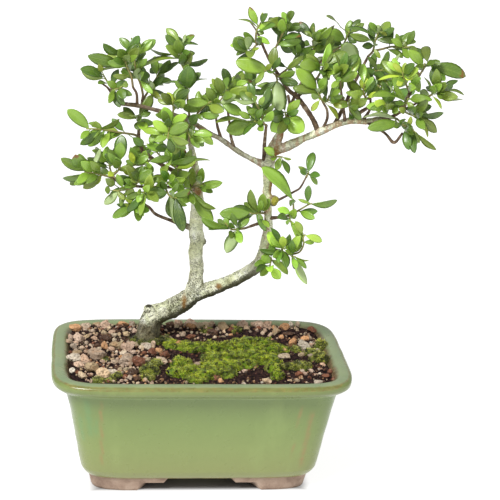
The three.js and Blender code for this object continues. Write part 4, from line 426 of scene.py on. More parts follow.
     [(0.45, 78, 21, 306, 11, 8, 0, "b"), (0.55, 66, 21, 304, 9, 5.5, 0, "b"),
      (0.8, 88, 25, 313, 16, 6, 55, "o"), (0.75, 67, 25, 309, 7, 3.5, 0, "o"),
      (0.4, 85, 29, 297, 11, 5.5, 0, "d")], 2],
    ["right_top_10",
     [[[79.5, 31, 287], [87.5, 35, 293], [95.5, 38, 298], [97.5, 31, 305], [98, 27, 309.5]],
      [[87.5, 35, 293], [94, 42, 286], [100.5, 48, 281]]],
     [(0.75, 82, 29, 309, 17, 9.5, 0, "m"), (0.95, 81, 27, 317, 18, 6.5, 70, "o"),
      (0.55, 87, 41, 301, 11, 7, 0, "d"), (0.85, 103, 26, 302, 8, 5.5, 0, "d")], 3],
    ["right_top_11",
     [[[111, 20, 294], [113.5, 17.5, 298], [114, 14, 305], [115, 13, 309], [116, 12, 313.5]],
      [[113.5, 17.5, 298], [119.5, 17, 299.5], [126, 16, 301.5], [130.5, 12, 302], [137, 8, 303]]],
     [(0.7, 95, 17, 313, 20, 7, 65, "d"), (0.6, 96, 12, 309, 17, 6, -30, "o"),
      (0.8, 115, 10, 318, 9, 5.5, 180, "p"), (0.6, 128, 10, 306, 13, 5, 0, "m"),
      (0.45, 105, 12, 302, 9, 5, 0, "d"), (0.95, 121, 10, 310, 5, 2.5, 0, "y"),
      (0.35, 118, 13, 294, 8, 3.5, 0, "y"), (1.85, 124, 7, 308, 16, 6, 20, "b"),
      (1.8, 128, 13, 311, 9, 3.5, 0, "m"), (1.95, 132, 11, 306, 9, 3.5, 0, "o"),
      (1.95, 134, 12, 300, 7, 4, 0, "d"), (1.9, 143, 11, 300, 9, 3.5, 0, "o")], 2],
    ["right_top_12",
     [[[105, 18.5, 281.5], [106, 13, 283.5], [110.5, 10, 285], [114.5, 8, 286], [118.5, 6, 287]],
      [[106, 13, 283.5], [103, 7, 284], [100.5, 1, 285]]],
     [(1.95, 90, -4, 307, 24, 13, 180, "p"), (0.8, 105, 4, 285, 10, 7, 0, "d"),
      (0.95, 108, 4, 296, 14, 5, 35, "m"), (0.95, 131, 6, 292, 13, 4.5, -40, "o"),
      (0.95, 130, 10, 297, 14, 5, 120, "p")], 1],
    ["right_top_13",
     [[[87, -18, 279], [86, -20, 285], [86, -21, 290.5]]],
     [(0.3, 83, -22, 297, 18, 8, 0, "b"), (0.3, 97, -21, 290, 13, 6, 0, "b"),
      (0.9, 81, -15, 301, 15, 5, 60, "o"), (0.95, 90, -13, 300, 13, 5.5, 0, "d"),
      (0.3, 80, -22, 280, 8, 4.5, 0, "b")], 1],
    ["right_top_14",
     [[[108, -15, 271.5], [104.5, -18, 272.5], [102, -20, 277], [102, -21, 282.5]]],
     [(0.65, 103, -23, 288, 11, 7.5, 0, "y"), (0.4, 90, -22, 277, 12, 4.5, 0, "o"),
      (0.6, 94, -17, 282, 10, 5.5, 0, "o"), (0.35, 113, -16, 280, 11, 6, 0, "o"),
      (0.3, 111, -22, 277, 9, 3.5, 0, "y")], 0],
    ["right_top_15",
     [[[131, -17.5, 266.5], [131, -22, 270.5], [131.5, -25, 274.5]],
      [[131, -20, 268.5], [126, -21, 267.5], [120.5, -21, 266], [116.5, -23, 270]]],
     [(0.95, 106, -29, 276, 25, 9, 60, "m"), (0.95, 147, -28, 275, 15, 5.5, -30, "m"),
      (0.9, 135, -27, 268, 8, 4, 0, "o"), (1.7, 109, -24, 271, 11, 6.5, 0, "y"),
      (1.65, 126, -25, 272, 10, 6, 0, "o"), (1.9, 122, -18, 275, 9, 6, 180, "p"),
      (1.65, 125, -26, 265, 6, 5.5, 0, "b")], 1],
    ["right_top_16",
     [[[138.5, -12, 283], [141.5, -12, 289], [146, -11, 295.5], [147.5, -13, 295], [149, -14, 294.5]],
      [[142.5, -12, 290.5], [142.5, -15, 294.5], [143, -16, 296.5]],
      [[141, -12, 287.5], [135.5, -17, 293.5], [133, -18, 295.5]]],
     [(1.65, 131, -18, 305, 16, 7.5, 0, "b"), (2.9, 139, -22, 278, 18, 6.5, 20, "b"),
      (2.95, 129, -16, 292, 6, 4, 0, "y"), (0.9, 171, -16, 288, 24, 10, 0, "t")], 0],
    ["right_top_17",
     [[[145, -18, 273], [148.5, -20, 276.5], [152, -21, 279.5], [154, -22, 278]]],
     [(0.75, 159, -23, 285, 10, 6.5, 0, "b"), (0.8, 155, -24, 274, 7, 4, 0, "m"),
      (0.75, 144, -19, 281, 8, 4, 0, "d"), (0.6, 143, -18, 288, 11, 4, 50, "o"),
      (0.95, 169, -18, 276, 15, 5.5, -70, "o"), (0.95, 170, -22, 274, 17, 6, 65, "o"),
      (0.3, 140, -22, 279, 8, 5.5, 180, "p"), (0.3, 155, -22, 267, 10, 4, -45, "y")], 0],
    ["right_top_18",
     [[[134.5, -14, 276], [131, -20, 281.5], [128, -24, 287.5], [126, -26, 292]]],
     [(0.95, 119, -28, 298, 10, 4, 0, "y"), (0.9, 128, -27, 299, 9, 3.5, 0, "y"),
      (0.75, 123, -26, 283, 6, 4.5, 0, "y"), (0.8, 133, -27, 288, 6, 3.5, 0, "y"),
      (0.85, 111, -23, 286, 16, 6, 60, "y")], 1],
    ["right_top_19",
     [[[126.5, 32, 262], [131.5, 36, 264], [135.5, 41, 269], [134.5, 43, 274]],
      [[131, 35.5, 264], [127, 43, 265.5], [123, 47, 269.5]]],
     [(0.7, 127, 38, 267, 9, 7, 180, "p"), (0.95, 128, 41, 278, 8, 5, 0, "o"),
      (0.85, 142, 39, 272, 8, 5, 0, "m")], 3],
    ["right_top_20",
     [[[121.5, -14, 258.5], [125.5, -21, 259.5], [129, -25, 256.5], [133.5, -27, 254.5], [137.5, -29, 252]]],
     [(0.5, 105, -27, 254, 22, 8, 0, "b"), (0.35, 102, -26, 261, 25, 9, 110, "p"),
      (0.6, 137, -29, 251, 9, 4.5, 0, "b"), (0.8, 141, -25, 244, 13, 4.5, -45, "o"),
      (0.95, 152, -29, 241, 17, 6, 55, "o"), (0.75, 133, -30, 263, 8, 3.5, 0, "y")], 0],
    ["right_top_21",
     [[[130, -17, 264.5], [133.5, -22, 263], [136.5, -24, 262.5], [140, -25, 262.5]]],
     [(0.95, 156, -25, 265, 16, 5.5, 45, "d"), (0.75, 149, -24, 256, 13, 5, 0, "o"),
      (0.95, 145, -27, 248, 14, 5, -50, "y"), (0.45, 125, -27, 267, 10, 4.5, 0, "y"),
      (0.7, 139, -27, 271, 10, 4, 0, "o")], 1],
    ["right_top_22",
     [[[98, -6, 254], [95, -14, 262], [93, -18, 269], [93.5, -19, 272]]],
     [(0.95, 101, -23, 259, 15, 5.5, 0, "m"), (0.95, 88, -22, 266, 8, 4.5, 0, "b"),
      (0.8, 86, -15, 268, 8, 4.5, 0, "y")], 0],
    ["right_top_23",
     [[[55.5, 6, 253], [53.5, 0, 256], [52.5, -3, 259]]],
     [(0.35, 44, -1, 245, 13, 10, 0, "b"), (0.3, 66, 0, 245, 15, 12.5, 0, "b"),
      (0.95, 61, -5, 266, 11, 6, 0, "b"), (0.95, 44, 0, 257, 9, 5.5, 0, "d")], 0],
    ["right_top_24",
     [[[46, 12, 223.5], [49.5, 5, 226], [53, 2, 226.5]]],
     [(0.95, 49, 0, 218, 9, 5, 0, "o"), (0.95, 59, 2, 225, 6, 2, 20, "o")], 0],
    ["middle_01",
     [[[28.5, -4, 177.5], [22, -9, 178], [18, -11, 179], [14, -12, 183.5]]],
     [(0.65, 3, -7, 178, 16, 5.5, 45, "d"), (0.7, -2, -14, 187, 21, 7.5, -45, "m"),
      (0.7, 13, -15, 188, 10, 4, 0, "m"), (0.45, 31, -6, 185, 11, 4, 0, "m"),
      (0.3, 16, -8, 161, 20, 9, 180, "p")], 0],
    ["middle_02",
     [[[44.5, 15, 183], [39.5, 6, 185.5], [35, 1, 186.5], [31.5, -2, 188]]],
     [(0.95, 11, -5, 188, 21, 9.5, 0, "b"), (0.3, 32, 7, 190, 13, 5.5, 0, "b"),
      (0.75, 24, 5, 177, 15, 5, 25, "d"), (0.7, 44, 5, 173, 14, 5, 0, "d"),
      (0.6, 45, -3, 177, 13, 4.5, -30, "b")], 0],
    ["middle_03",
     [[[56.5, 8, 182.5], [59.5, 5, 184.5], [62.5, 2, 187], [68.5, -4, 193], [71.5, -6, 195.5],
       [73.5, -7, 196.5]],
      [[62.5, 2, 187], [61.5, -2, 193], [61, -3, 198.5]],
      [[59.5, 5, 184.5], [60, 1, 182.5], [60.5, -1, 181]]],
     [(1.95, 37, -8, 221, 33, 12, 45, "b"), (2.55, 67, 0, 168, 16, 5.5, -30, "b"),
      (0.3, 51, 2, 190, 10, 5.5, 0, "b"), (0.95, 91, -7, 198, 18, 6.5, 40, "m"),
      (0.95, 64, -6, 199, 9, 2.5, 0, "o")], 0],
    ["middle_04",
     [[[70, 4, 212], [71, 3, 214.5], [71.5, 2, 216]]],
     [(0.95, 64, 2, 220, 8, 3, 0, "o"), (0.3, 78, 4, 207, 9, 3.5, 0, "m")], 0],
    ["middle_05",
     [[[53, 8, 158.5], [56.5, 4, 158.5], [60.5, 0, 158], [66.5, -5, 161], [69, -8, 167.5], [68, -11, 173],
       [69, -12, 176]],
      [[56, 4.5, 158.5], [55, -1, 162], [56, -5, 164]],
      [[61, -0.5, 158.5], [61.5, -6, 158.5], [63.5, -9, 159]]],
     [(0.3, 45, 3, 173, 16, 8.5, 0, "b"), (1.65, 48, 3, 176, 14, 5, 35, "d"),
      (0.3, 40, 2, 161, 15, 5.5, -40, "d"), (1.95, 54, -9, 174, 11, 6, 0, "o"),
      (0.35, 68, -4, 169, 12, 5, 0, "b"), (2.9, 73, -11, 140, 21, 7.5, 145, "p"),
      (2.35, 65, -2, 148, 11, 4, -25, "d"), (2.95, 74, -6, 155, 11, 4, 60, "o"),
      (2.1, 64, 2, 167, 9, 4, 0, "b"), (0.95, 62, -12, 185, 10, 5, 0, "o"),
      (0.95, 81, -12, 171, 12, 5.5, 0, "o"), (0.8, 76, -11, 170, 8, 3.5, 0, "m")], 0],
    ["middle_06",
     [[[45.5, 17.5, 151], [49, 8, 152.5], [48, 4, 149.5], [48, 3, 147]]],
     [(0.95, 41, -1, 157, 11, 6.5, 0, "m"), (0.95, 41, 0, 142, 9, 5, 0, "b"),
      (0.95, 55, 0, 140, 10, 7, 0, "b")], 0],
    ["left_low_01",
     [[[-62.5, -19.5, 215.5], [-66.5, -24, 218], [-72.5, -26, 220], [-78, -27, 221], [-81.5, -27, 221.5]]],
     [(0.95, -97, -29, 231, 18, 6.5, 0, "m"), (0.95, -87, -32, 234, 14, 9, 0, "m"),
      (0.75, -83, -35, 230, 15, 7, 0, "b"), (0.9, -71, -22, 236, 14, 5, 155, "p"),
      (0.85, -96, -27, 216, 17, 6, -40, "m"), (0.8, -91, -23, 212, 14, 5.5, 0, "m"),
      (0.4, -77, -31, 229, 14, 6, 0, "b"), (0.4, -76, -28, 213, 9, 5, 0, "y")], 0],
    ["left_low_02",
     [[[-60, -18, 213.5], [-63.5, -13, 217.5], [-65, -10, 223], [-66, -8, 227]],
      [[-62.5, -14.5, 216], [-58.5, -18, 221.5], [-57.5, -19, 227]]],
     [(0.9, -73, -12, 227, 8, 5.5, 0, "m"), (0.95, -69, -6, 231, 6, 4.5, 0, "d"),
      (0.6, -59, -9, 232, 12, 8, 0, "b"), (1.95, -57, -16, 244, 16, 9, 0, "d"),
      (1.95, -58, -23, 241, 13, 8, 0, "b"), (1.45, -51, -20, 224, 9, 4, 0, "o"),
      (1.45, -65, -21, 217, 7, 4.5, 0, "y"), (1.5, -50, -14, 217, 10, 3.5, 40, "y")], 1],
    ["left_low_03",
     [[[-35.5, 11, 222], [-40, 3, 220.5], [-45, -3, 220.5], [-49, -6, 222]]],
     [(0.95, -51, -8, 231, 9, 4.5, 0, "y"), (0.9, -39, -8, 228, 11, 6, 0, "m"),
      (0.3, -23, 3, 225, 15, 5.5, 0, "m"), (0.45, -35, 0, 215, 7, 5.5, 0, "m")], 1],
    ["left_low_04",
     [[[-47.5, -10.5, 208], [-46.5, -16, 211.5], [-45, -18, 214]],
      [[-47, -12, 208.5], [-53, -19, 208], [-58.5, -23, 208], [-62.5, -24, 208.5]]],
     [(0.65, -37, -20, 222, 14, 7.5, 0, "m"), (0.85, -51, -20, 215, 6, 4, 0, "o"),
      (1.95, -68, -26, 209, 4, 5.5, 0, "m"), (1.65, -66, -26, 216, 12, 5.5, 0, "o"),
      (1.4, -64, -13, 203, 13, 4.5, 45, "d"), (1.8, -68, -25, 199, 13, 6, 180, "p"),
      (1.85, -55, -27, 203, 7, 4, 0, "y")], 1],
    ["left_low_05",
     [[[-43, 6, 192.5], [-46, 1, 192.5], [-48, -1, 192]]],
     [(0.95, -54, -3, 198, 9, 3.5, 0, "y"), (0.95, -47, -3, 200, 8, 3.5, 0, "y"),
      (0.75, -42, 3, 198, 8, 3.5, 0, "m"), (0.95, -62, -4, 184, 15, 6, 0, "b"),
      (0.85, -41, -3, 185, 9, 5.5, 0, "b"), (0.7, -39, 4, 190, 8, 4, 0, "d"),
      (0.95, -54, -7, 195, 8, 2.5, 0, "y")], 0],
    ["left_low_06",
     [[[-40.5, -6.5, 206.5], [-40, -13, 206], [-42.5, -17, 205]]],
     [(0.85, -27, -20, 206, 16, 7.5, 0, "d"), (0.95, -46, -19, 199, 7, 4.5, 0, "m"),
      (0.8, -37, -20, 201, 7, 4.5, 0, "m"), (0.85, -46, -19, 206, 5, 4.5, 0, "o")], 1],
    ["left_low_07",
     [[[-26.5, 3, 204], [-25.5, -6, 203], [-24, -11, 201.5], [-19.5, -14, 201]]],
     [(0.6, -22, -10, 186, 15, 8, 0, "m"), (0.75, -18, -16, 183, 20, 8, 180, "p"),
      (0.95, -14, -12, 177, 23, 8.5, 0, "d"), (0.55, -16, -12, 196, 13, 8, 0, "b"),
      (0.5, -33, -3, 199, 9, 5.5, 0, "d")], 0],
    ["left_low_08",
     [[[-5.5, 24.5, 198.5], [-8, 14, 200.5], [-9.5, 10, 199]],
      [[-7, 18, 200], [-3, 10, 204], [0.5, 7, 205.5]]],
     [(0.95, 7, 7, 178, 25, 9, 0, "b"), (0.95, 9, 14, 185, 20, 7, 65, "o"),
      (1.55, 13, 6, 207, 17, 6, 0, "b"), (0.8, -13, 9, 191, 11, 7.5, 0, "b"),
      (0.95, -5, 14, 189, 11, 5.5, 0, "m")], 0],
    ["left_low_09",
     [[[-18.5, 18, 210.5], [-22, 6, 209.5], [-25, 0, 207.5], [-27, -3, 205.5]]],
     [(0.8, -36, -2, 212, 12, 5.5, 0, "o"), (0.65, -30, -1, 218, 12, 5.5, 0, "b"),
      (0.55, -19, 1, 218, 10, 4.5, 0, "o"), (0.85, -18, -5, 208, 8, 6, 0, "b"),
      (0.95, -33, -6, 206, 7, 5.5, 0, "m")], 1],
    ["left_low_10",
     [[[-14, 20.5, 206], [-18.5, 10, 215], [-23, 4, 219.5], [-26, 1, 221.5]]],
     [(0.95, -6, -1, 226, 19, 6.5, 35, "m"), (0.5, 4, 13, 222, 21, 7.5, -65, "o"),
      (0.5, -6, 7, 221, 15, 5.5, 25, "y"), (0.85, -30, 1, 215, 9, 6, 0, "o")], 1],
    ["back_01",
     [[[-16, 56, 206.5], [-21.5, 61, 209], [-27, 66, 210.5], [-31.5, 65, 215.5], [-37, 63, 220]],
      [[-21, 60.5, 208.5], [-19, 60, 215], [-22, 58, 220.5]]],
     [], 5],
    ["back_02",
     [[[-11.5, 54, 218], [-11.5, 52, 225.5], [-13.5, 50, 233.5]]],
     [], 3],
]


def random_from(seed):
    """Repeatable random numbers from 0 to 1, the same as in the part's source."""
    mask = 0xFFFFFFFF
    state = seed & mask

    def draw():
        nonlocal state
        state = (state + 0x6D2B79F5) & mask
        mixed = ((state ^ (state >> 15)) * (state | 1)) & mask
        mixed = ((mixed + ((mixed ^ (mixed >> 7)) * (mixed | 61))) ^ mixed) & mask
        return (mixed ^ (mixed >> 14)) / 4294967296

    return draw


def unit(vector):
    """vector made one long."""
    return vector / np.linalg.norm(vector)


def turned(vector, axis, angle):
    """vector turned about a unit axis."""
    return (vector * math.cos(angle) + np.cross(axis, vector) * math.sin(angle)
            + axis * np.dot(axis, vector) * (1 - math.cos(angle)))


def srgb(red, green, blue):
    """Linear colour from 0 to 255 display values."""
    def linear(value):
        value /= 255
        return value / 12.92 if value <= 0.04045 else ((value + 0.055) / 1.055) ** 2.4
    return (linear(red), linear(green), linear(blue), 1.0)


def smooth_step(low, high, value):
    """0 below low, 1 above high, smooth between them."""
    share = min(1.0, max(0.0, (value - low) / (high - low)))
    return share * share * (3 - 2 * share)


def wobble(x, y, z):
    """Smooth noise from -1 to 1."""
    return noise.noise(Vector((x, y, z)))


def clipped(values):
    """values kept between 0 and 1."""
    return np.clip(values, 0, 1)


# Objects
def linked(name, data):
    """A new object with this data, in the scene."""
    thing = bpy.data.objects.new(name, data)
    bpy.context.scene.collection.objects.link(thing)
    return thing


def mesh_of(name, points, faces):
    """A mesh in metres from millimetre points, moved to the pot's place in the frame."""
    points = (np.asarray(points, float) + (POT_MIDDLE_X, 0, 0)) / 1000
    mesh = bpy.data.meshes.new(name)
    mesh.from_pydata(points.tolist(), [], faces)
    return mesh


def add_piece(name, points, faces, materials, nodes, values, smooth=True,
              face_materials=None, colours=None):
    """Makes a mesh object from millimetre points, and hands it to the frame."""
    mesh = mesh_of(name, points, faces)
    for material in materials:
        mesh.materials.append(material)
    if face_materials is not None:
        mesh.polygons.foreach_set("material_index", np.asarray(face_materials, np.int32))
    mesh.polygons.foreach_set("use_smooth", [smooth] * len(mesh.polygons))
    if colours is not None:
        layer = mesh.attributes.new("tint", "FLOAT_COLOR", "POINT")
        layer.data.foreach_set("color", np.asarray(colours, np.float32).ravel())
    for key, series in values.items():
        layer = mesh.attributes.new(key, "FLOAT", "POINT")
        layer.data.foreach_set("value", np.asarray(series, np.float32))
    mesh.update()
    piece = linked(name, mesh)
    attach(piece, "root")
    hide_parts(*nodes)
    return piece


class Shape:
    """Points, faces and their attributes, gathered from many small forms."""

    def __init__(self):
        self.points, self.faces, self.kinds, self.colours = [], [], [], []
        self.values = {}

    def add(self, points, faces, kind=0, colours=(1, 1, 1, 1), **values):
        """Adds a form. kind is its material's place in the piece, colours are one, or one for each point."""
        start = len(self.points)
        points = [tuple(p) for p in points]
        self.points += points
        self.faces += [tuple(start + i for i in face) for face in faces]
        self.kinds += [kind] * len(faces)
        self.colours += [colours] * len(points) if np.ndim(colours) == 1 else [tuple(c) for c in colours]
        for key in sorted(set(self.values) | set(values)):
            series = self.values.setdefault(key, [0.0] * start)
            new = values.get(key, 0.0)
            series += [float(new)] * len(points) if np.ndim(new) == 0 else [float(v) for v in new]

    def piece(self, name, materials, slot, nodes, smooth=True):
        """Makes the piece from all the forms."""
        return add_piece(name, self.points, self.faces, materials, nodes, self.values, smooth,
                         self.kinds, self.colours)


def ring_faces(rings, count):
    """Quads between consecutive rings of count points."""
    faces = []
    for r in range(rings - 1):
        for i in range(count):
            a, b = r * count + i, r * count + (i + 1) % count
            faces.append((a, b, b + count, a + count))
    return faces


def closed_faces(rings, count):
    """Quads between rings, with the first and the last ring closed."""
    ends = [tuple(range(count))[::-1], tuple((rings - 1) * count + i for i in range(count))]
    return ring_faces(rings, count) + ends


def smooth_path(path, step):
    """Points along a smooth curve through the path's points, each x, y, z, radius."""
    path = np.asarray(path, float)
    padded = np.vstack([2 * path[0] - path[1], path, 2 * path[-1] - path[-2]])
    out = []
    for i in range(1, len(padded) - 2):
        before, start, end, after = padded[i - 1:i + 3]
        pieces = max(1, int(round(np.linalg.norm(end[:3] - start[:3]) / step)))
        for k in range(pieces):
            t = k / pieces
            square = 2 * before - 5 * start + 4 * end - after
            cube = 3 * start - before - 3 * end + after
            out.append(0.5 * (2 * start + (end - before) * t + square * t * t + cube * t ** 3))
    out.append(path[-1])
    return np.array(out)


def tube(path, sides, radius_at=None):
    """Points and faces of a tube with rounded ends. radius_at(i, angle, point) scales the radius."""
    count = len(path)
    side = None
    points = []
    for i in range(count):
        along = unit(path[min(count - 1, i + 1)][:3] - path[max(0, i - 1)][:3])
        if side is None:
            side = np.cross([0.31, -0.83, 0.46], along)
        side = unit(side - along * np.dot(side, along))
        other = np.cross(along, side)
        for k in range(sides):
            angle = 2 * math.pi * k / sides
            radius = path[i][3] * (radius_at(i, angle, path[i]) if radius_at else 1)
            points.append(path[i][:3] + radius * (math.cos(angle) * side + math.sin(angle) * other))
    faces = ring_faces(count, sides)
    first = path[0][:3] - 0.4 * path[0][3] * unit(path[1][:3] - path[0][:3])
    last = path[-1][:3] + 0.4 * path[-1][3] * unit(path[-1][:3] - path[-2][:3])
    points += [first, last]
    end = sides * (count - 1)
    total = sides * count
    faces += [(total, (k + 1) % sides, k) for k in range(sides)]
    faces += [(total + 1, end + k, end + (k + 1) % sides) for k in range(sides)]
    return points, faces


# Materials
class Shader:
    """A principled material with helpers for its procedural nodes."""

    def __init__(self, name, **settings):
        self.material = bpy.data.materials.new(name)
        self.material.use_nodes = True
        self.nodes = self.material.node_tree.nodes
        self.links = self.material.node_tree.links
        self.surface = self.nodes["Principled BSDF"]
        for key, value in settings.items():
            self.surface.inputs[key.replace("_", " ")].default_value = value
        self.place = self.nodes.new("ShaderNodeTexCoord").outputs["Object"]

    def put(self, socket, value):
        """Links a socket's output, or sets a plain value."""
        if isinstance(value, bpy.types.NodeSocket):
            self.links.new(value, socket)
        else:
            socket.default_value = value

    def node(self, kind, inputs, **settings):
        """The outputs of a new node with these settings and inputs."""
        node = self.nodes.new("ShaderNode" + kind)
        for key, value in settings.items():
            setattr(node, key, value)
        for key, value in inputs.items():
            self.put(node.inputs[key], value)
        return node.outputs

    def stretched(self, x, y, z):
        """The object's coordinates, scaled along each axis."""
        return self.node("VectorMath", {0: self.place, 1: (x, y, z)}, operation="MULTIPLY")[0]

    def noise(self, scale, detail=4, roughness=0.55, where=None, warp=0.0):
        """Fractal noise at the object's coordinates, or at those given."""
        return self.node("TexNoise", {"Vector": where or self.place, "Scale": scale, "Detail": detail,
                                      "Roughness": roughness, "Distortion": warp})[0]

    def cells(self, scale):
        """Distance to the nearest point of a field of cells."""
        return self.node("TexVoronoi", {"Vector": self.place, "Scale": scale})["Distance"]

    def ramp(self, value, *stops):
        """stops are (place, colour or grey value)."""
        node = self.nodes.new("ShaderNodeValToRGB")
        self.put(node.inputs[0], value)
        elements = node.color_ramp.elements
        while len(elements) < len(stops):
            elements.new(0.5)
        for element, (place, colour) in zip(elements, stops):
            element.position = place
            element.color = colour if np.ndim(colour) else (colour, colour, colour, 1)
        return node.outputs[0]

    def between(self, value, low, high, kind="SMOOTHSTEP"):
        """0 below low, 1 above high."""
        return self.node("MapRange", {0: value, 1: low, 2: high}, interpolation_type=kind)[0]

    def math(self, operation, first, second=0.0):
        """A node of arithmetic."""
        return self.node("Math", {0: first, 1: second}, operation=operation)[0]

    def times(self, first, second):
        """A product."""
        return self.math("MULTIPLY", first, second)

    def plus(self, first, second):
        """A sum."""
        return self.math("ADD", first, second)

    def mix(self, share, first, second):
        """The first colour where share is 0, the second where it is 1."""
        # The node's inputs 6 and 7 are its two colours
        return self.node("Mix", {0: share, 6: first, 7: second}, data_type="RGBA")[2]

    def over(self, colour, share, strength, paint):
        """The colour with a paint laid over it, as strong as share times strength."""
        return self.mix(self.times(share, strength), colour, paint)

    def attribute(self, name, output="Color"):
        """A value or colour stored at the mesh's points."""
        return self.node("Attribute", {}, attribute_name=name)[output]

    def share(self, name):
        """A stored value between 0 and 1."""
        return self.attribute(name, "Fac")

    def axes(self):
        """The object's coordinates x, y and z, in metres."""
        return tuple(self.node("SeparateXYZ", {0: self.place}))

    def finish(self, colour, roughness, bump=None, strength=0.5, distance=0.0005):
        """The material, with its colour, roughness and relief."""
        self.put(self.surface.inputs["Base Color"], colour)
        self.put(self.surface.inputs["Roughness"], roughness)
        if bump is not None:
            relief = self.node("Bump", {"Strength": strength, "Distance": distance, "Height": bump})[0]
            self.put(self.surface.inputs["Normal"], relief)
        return self.material


def glaze_material():
    """Sage green glaze: bluer high on the wall, yellower low, brown where it thins on edges."""
    s = Shader("glaze", Coat_Weight=0.2, Coat_Roughness=0.15)
    z = s.axes()[2]
    fine = s.noise(260, 5, 0.6)
    wavy = s.plus(z, s.times(s.noise(22, 3, 0.5), 0.006))
    # Under the rim's lip the ramp holds painted light: a slightly darker grey band of painted shade over a
    # thin pale line, a painted highlight
    wall = s.ramp(s.between(wavy, 0.012, 0.098, "LINEAR"),
                  (0.0, srgb(134, 138, 82)), (0.3, srgb(130, 144, 82)), (0.5, srgb(122, 140, 78)),
                  (0.62, srgb(116, 134, 76)), (0.76, srgb(114, 132, 78)), (0.785, srgb(140, 156, 104)),
                  (0.8, srgb(112, 124, 74)), (0.86, srgb(118, 132, 70)), (1.0, srgb(120, 134, 86)))
    rim_top = s.between(s.share("rim_top"), 0.1, 0.9)
    rim = s.ramp(s.noise(40, 3, 0.5), (0.3, srgb(130, 150, 110)), (0.7, srgb(150, 162, 120)))
    colour = s.mix(rim_top, wall, rim)
    speckle = s.between(fine, 0.45, 0.8)
    colour = s.over(colour, speckle, 0.22, srgb(116, 130, 70))
    cloud = s.between(s.noise(45, 4, 0.6, s.stretched(1, 1, 0.35)), 0.5, 0.72)
    colour = s.over(colour, cloud, 0.25, srgb(150, 168, 100))
    colour = s.over(colour, s.share("drip"), 0.4, srgb(92, 150, 104))
    colour = s.over(colour, s.share("streak"), 0.85, srgb(150, 122, 76))
    pinholes = s.between(s.noise(420, 2, 0.5), 0.74, 0.8)
    colour = s.over(colour, pinholes, 0.6, srgb(104, 84, 50))
    worn = s.plus(s.share("worn"), s.times(s.noise(330, 4, 0.75), 0.55))
    ragged = s.between(worn, 0.7, 1.2)
    grain = s.between(s.noise(300, 4, 0.7, s.stretched(0.3, 1, 1.6)), 0.4, 0.64)
    brown = s.mix(grain, srgb(118, 84, 38), srgb(158, 134, 72))
    colour = s.over(colour, ragged, 0.85, brown)
    # Dirt and painted shade: a dark brown crust over the inner wall between the soil and the rim
    crust_and_shade = s.ramp(s.noise(360, 5, 0.7), (0.35, srgb(58, 42, 32)), (0.52, srgb(112, 84, 60)),
                   (0.66, srgb(150, 128, 96)))
    colour = s.over(colour, s.share("dirt"), 0.88, crust_and_shade)
    height = s.plus(s.times(s.noise(90, 3), 0.6), s.times(fine, 0.4))
    rough = s.ramp(s.noise(120, 3), (0.3, 0.24), (0.7, 0.4))
    return s.finish(colour, rough, height, 0.15, 0.0004)


def clay_material():
    """Bare pinkish clay, darker in its pits and near the joint with the glaze, with painted shade on the
    feet's inner faces.
    """
    s = Shader("bare_clay")
    colour = s.ramp(s.noise(90, 6, 0.65), (0.25, srgb(116, 92, 78)), (0.5, srgb(160, 136, 118)),
                    (0.75, srgb(186, 164, 146)))
    pits = s.between(s.cells(700), 0.05, 0.25)
    colour = s.mix(0.35, colour, s.mix(pits, srgb(90, 68, 56), colour))
    z = s.axes()[2]
    joint = s.between(z, 0.0095, 0.0115)
    colour = s.over(colour, joint, 0.55, srgb(96, 72, 54))
    # Painted shade: the inner faces of the feet, under the pot, are darkened
    inside = s.share("inside")
    colour = s.over(colour, inside, 0.8, srgb(62, 48, 38))
    return s.finish(colour, 0.85, s.noise(500, 5, 0.7), 0.5, 0.0004)


def soil_material():
    """Dark damp soil with purple-brown crumbs and a few pale fibres."""
    s = Shader("soil", Specular_IOR_Level=0.15)
    colour = s.ramp(s.noise(300, 6, 0.75), (0.3, srgb(24, 14, 14)), (0.48, srgb(52, 34, 34)),
                    (0.62, srgb(82, 58, 52)), (0.74, srgb(132, 104, 84)))
    colour = s.mix(s.between(s.cells(420), 0.35, 0.8), colour, srgb(22, 14, 14))
    fibres = s.between(s.noise(700, 3, 0.5, s.stretched(0.25, 1, 1), 1.5), 0.7, 0.78)
    colour = s.over(colour, fibres, 0.5, srgb(150, 122, 92))
    return s.finish(colour, 0.95, s.noise(600, 6, 0.7), 1.0, 0.0012)


def stone_material():
    """Porous stone: paler grains, dark pores and a rusty bloom over its own tint."""
    s = Shader("gravel", Specular_IOR_Level=0.2)
    tint = s.attribute("tint")
    grains = s.noise(800, 5, 0.75)
    colour = s.mix(s.between(grains, 0.42, 0.7), s.mix(0.3, tint, srgb(96, 70, 54)), tint)
    light_grains = s.between(s.noise(1100, 4, 0.7), 0.55, 0.75)
    colour = s.mix(light_grains, colour, s.mix(0.55, tint, srgb(240, 230, 214)))
    pores = s.between(s.noise(900, 4, 0.7), 0.56, 0.66)
    colour = s.over(colour, pores, 0.75, s.mix(0.6, tint, srgb(70, 48, 38)))
    bloom = s.between(s.noise(190, 3, 0.5), 0.56, 0.7)
    colour = s.over(colour, bloom, 0.3, srgb(186, 128, 84))
    return s.finish(colour, 0.85, s.math("SUBTRACT", grains, pores), 0.9, 0.0011)


def moss_material():
    """Moss: each blade's own tint, mottled in patches."""
    s = Shader("moss", Specular_IOR_Level=0.15, Sheen_Weight=0.2)
    tint = s.attribute("tint")
    colour = s.mix(s.between(s.noise(160, 4, 0.6), 0.4, 0.7), tint, s.mix(0.35, tint, srgb(176, 190, 66)))
    colour = s.mix(s.between(s.noise(120, 3), 0.52, 0.66), colour, s.mix(0.3, colour, srgb(60, 84, 14)))
    return s.finish(colour, 0.9, s.noise(1500, 4, 0.8), 0.8, 0.0006)


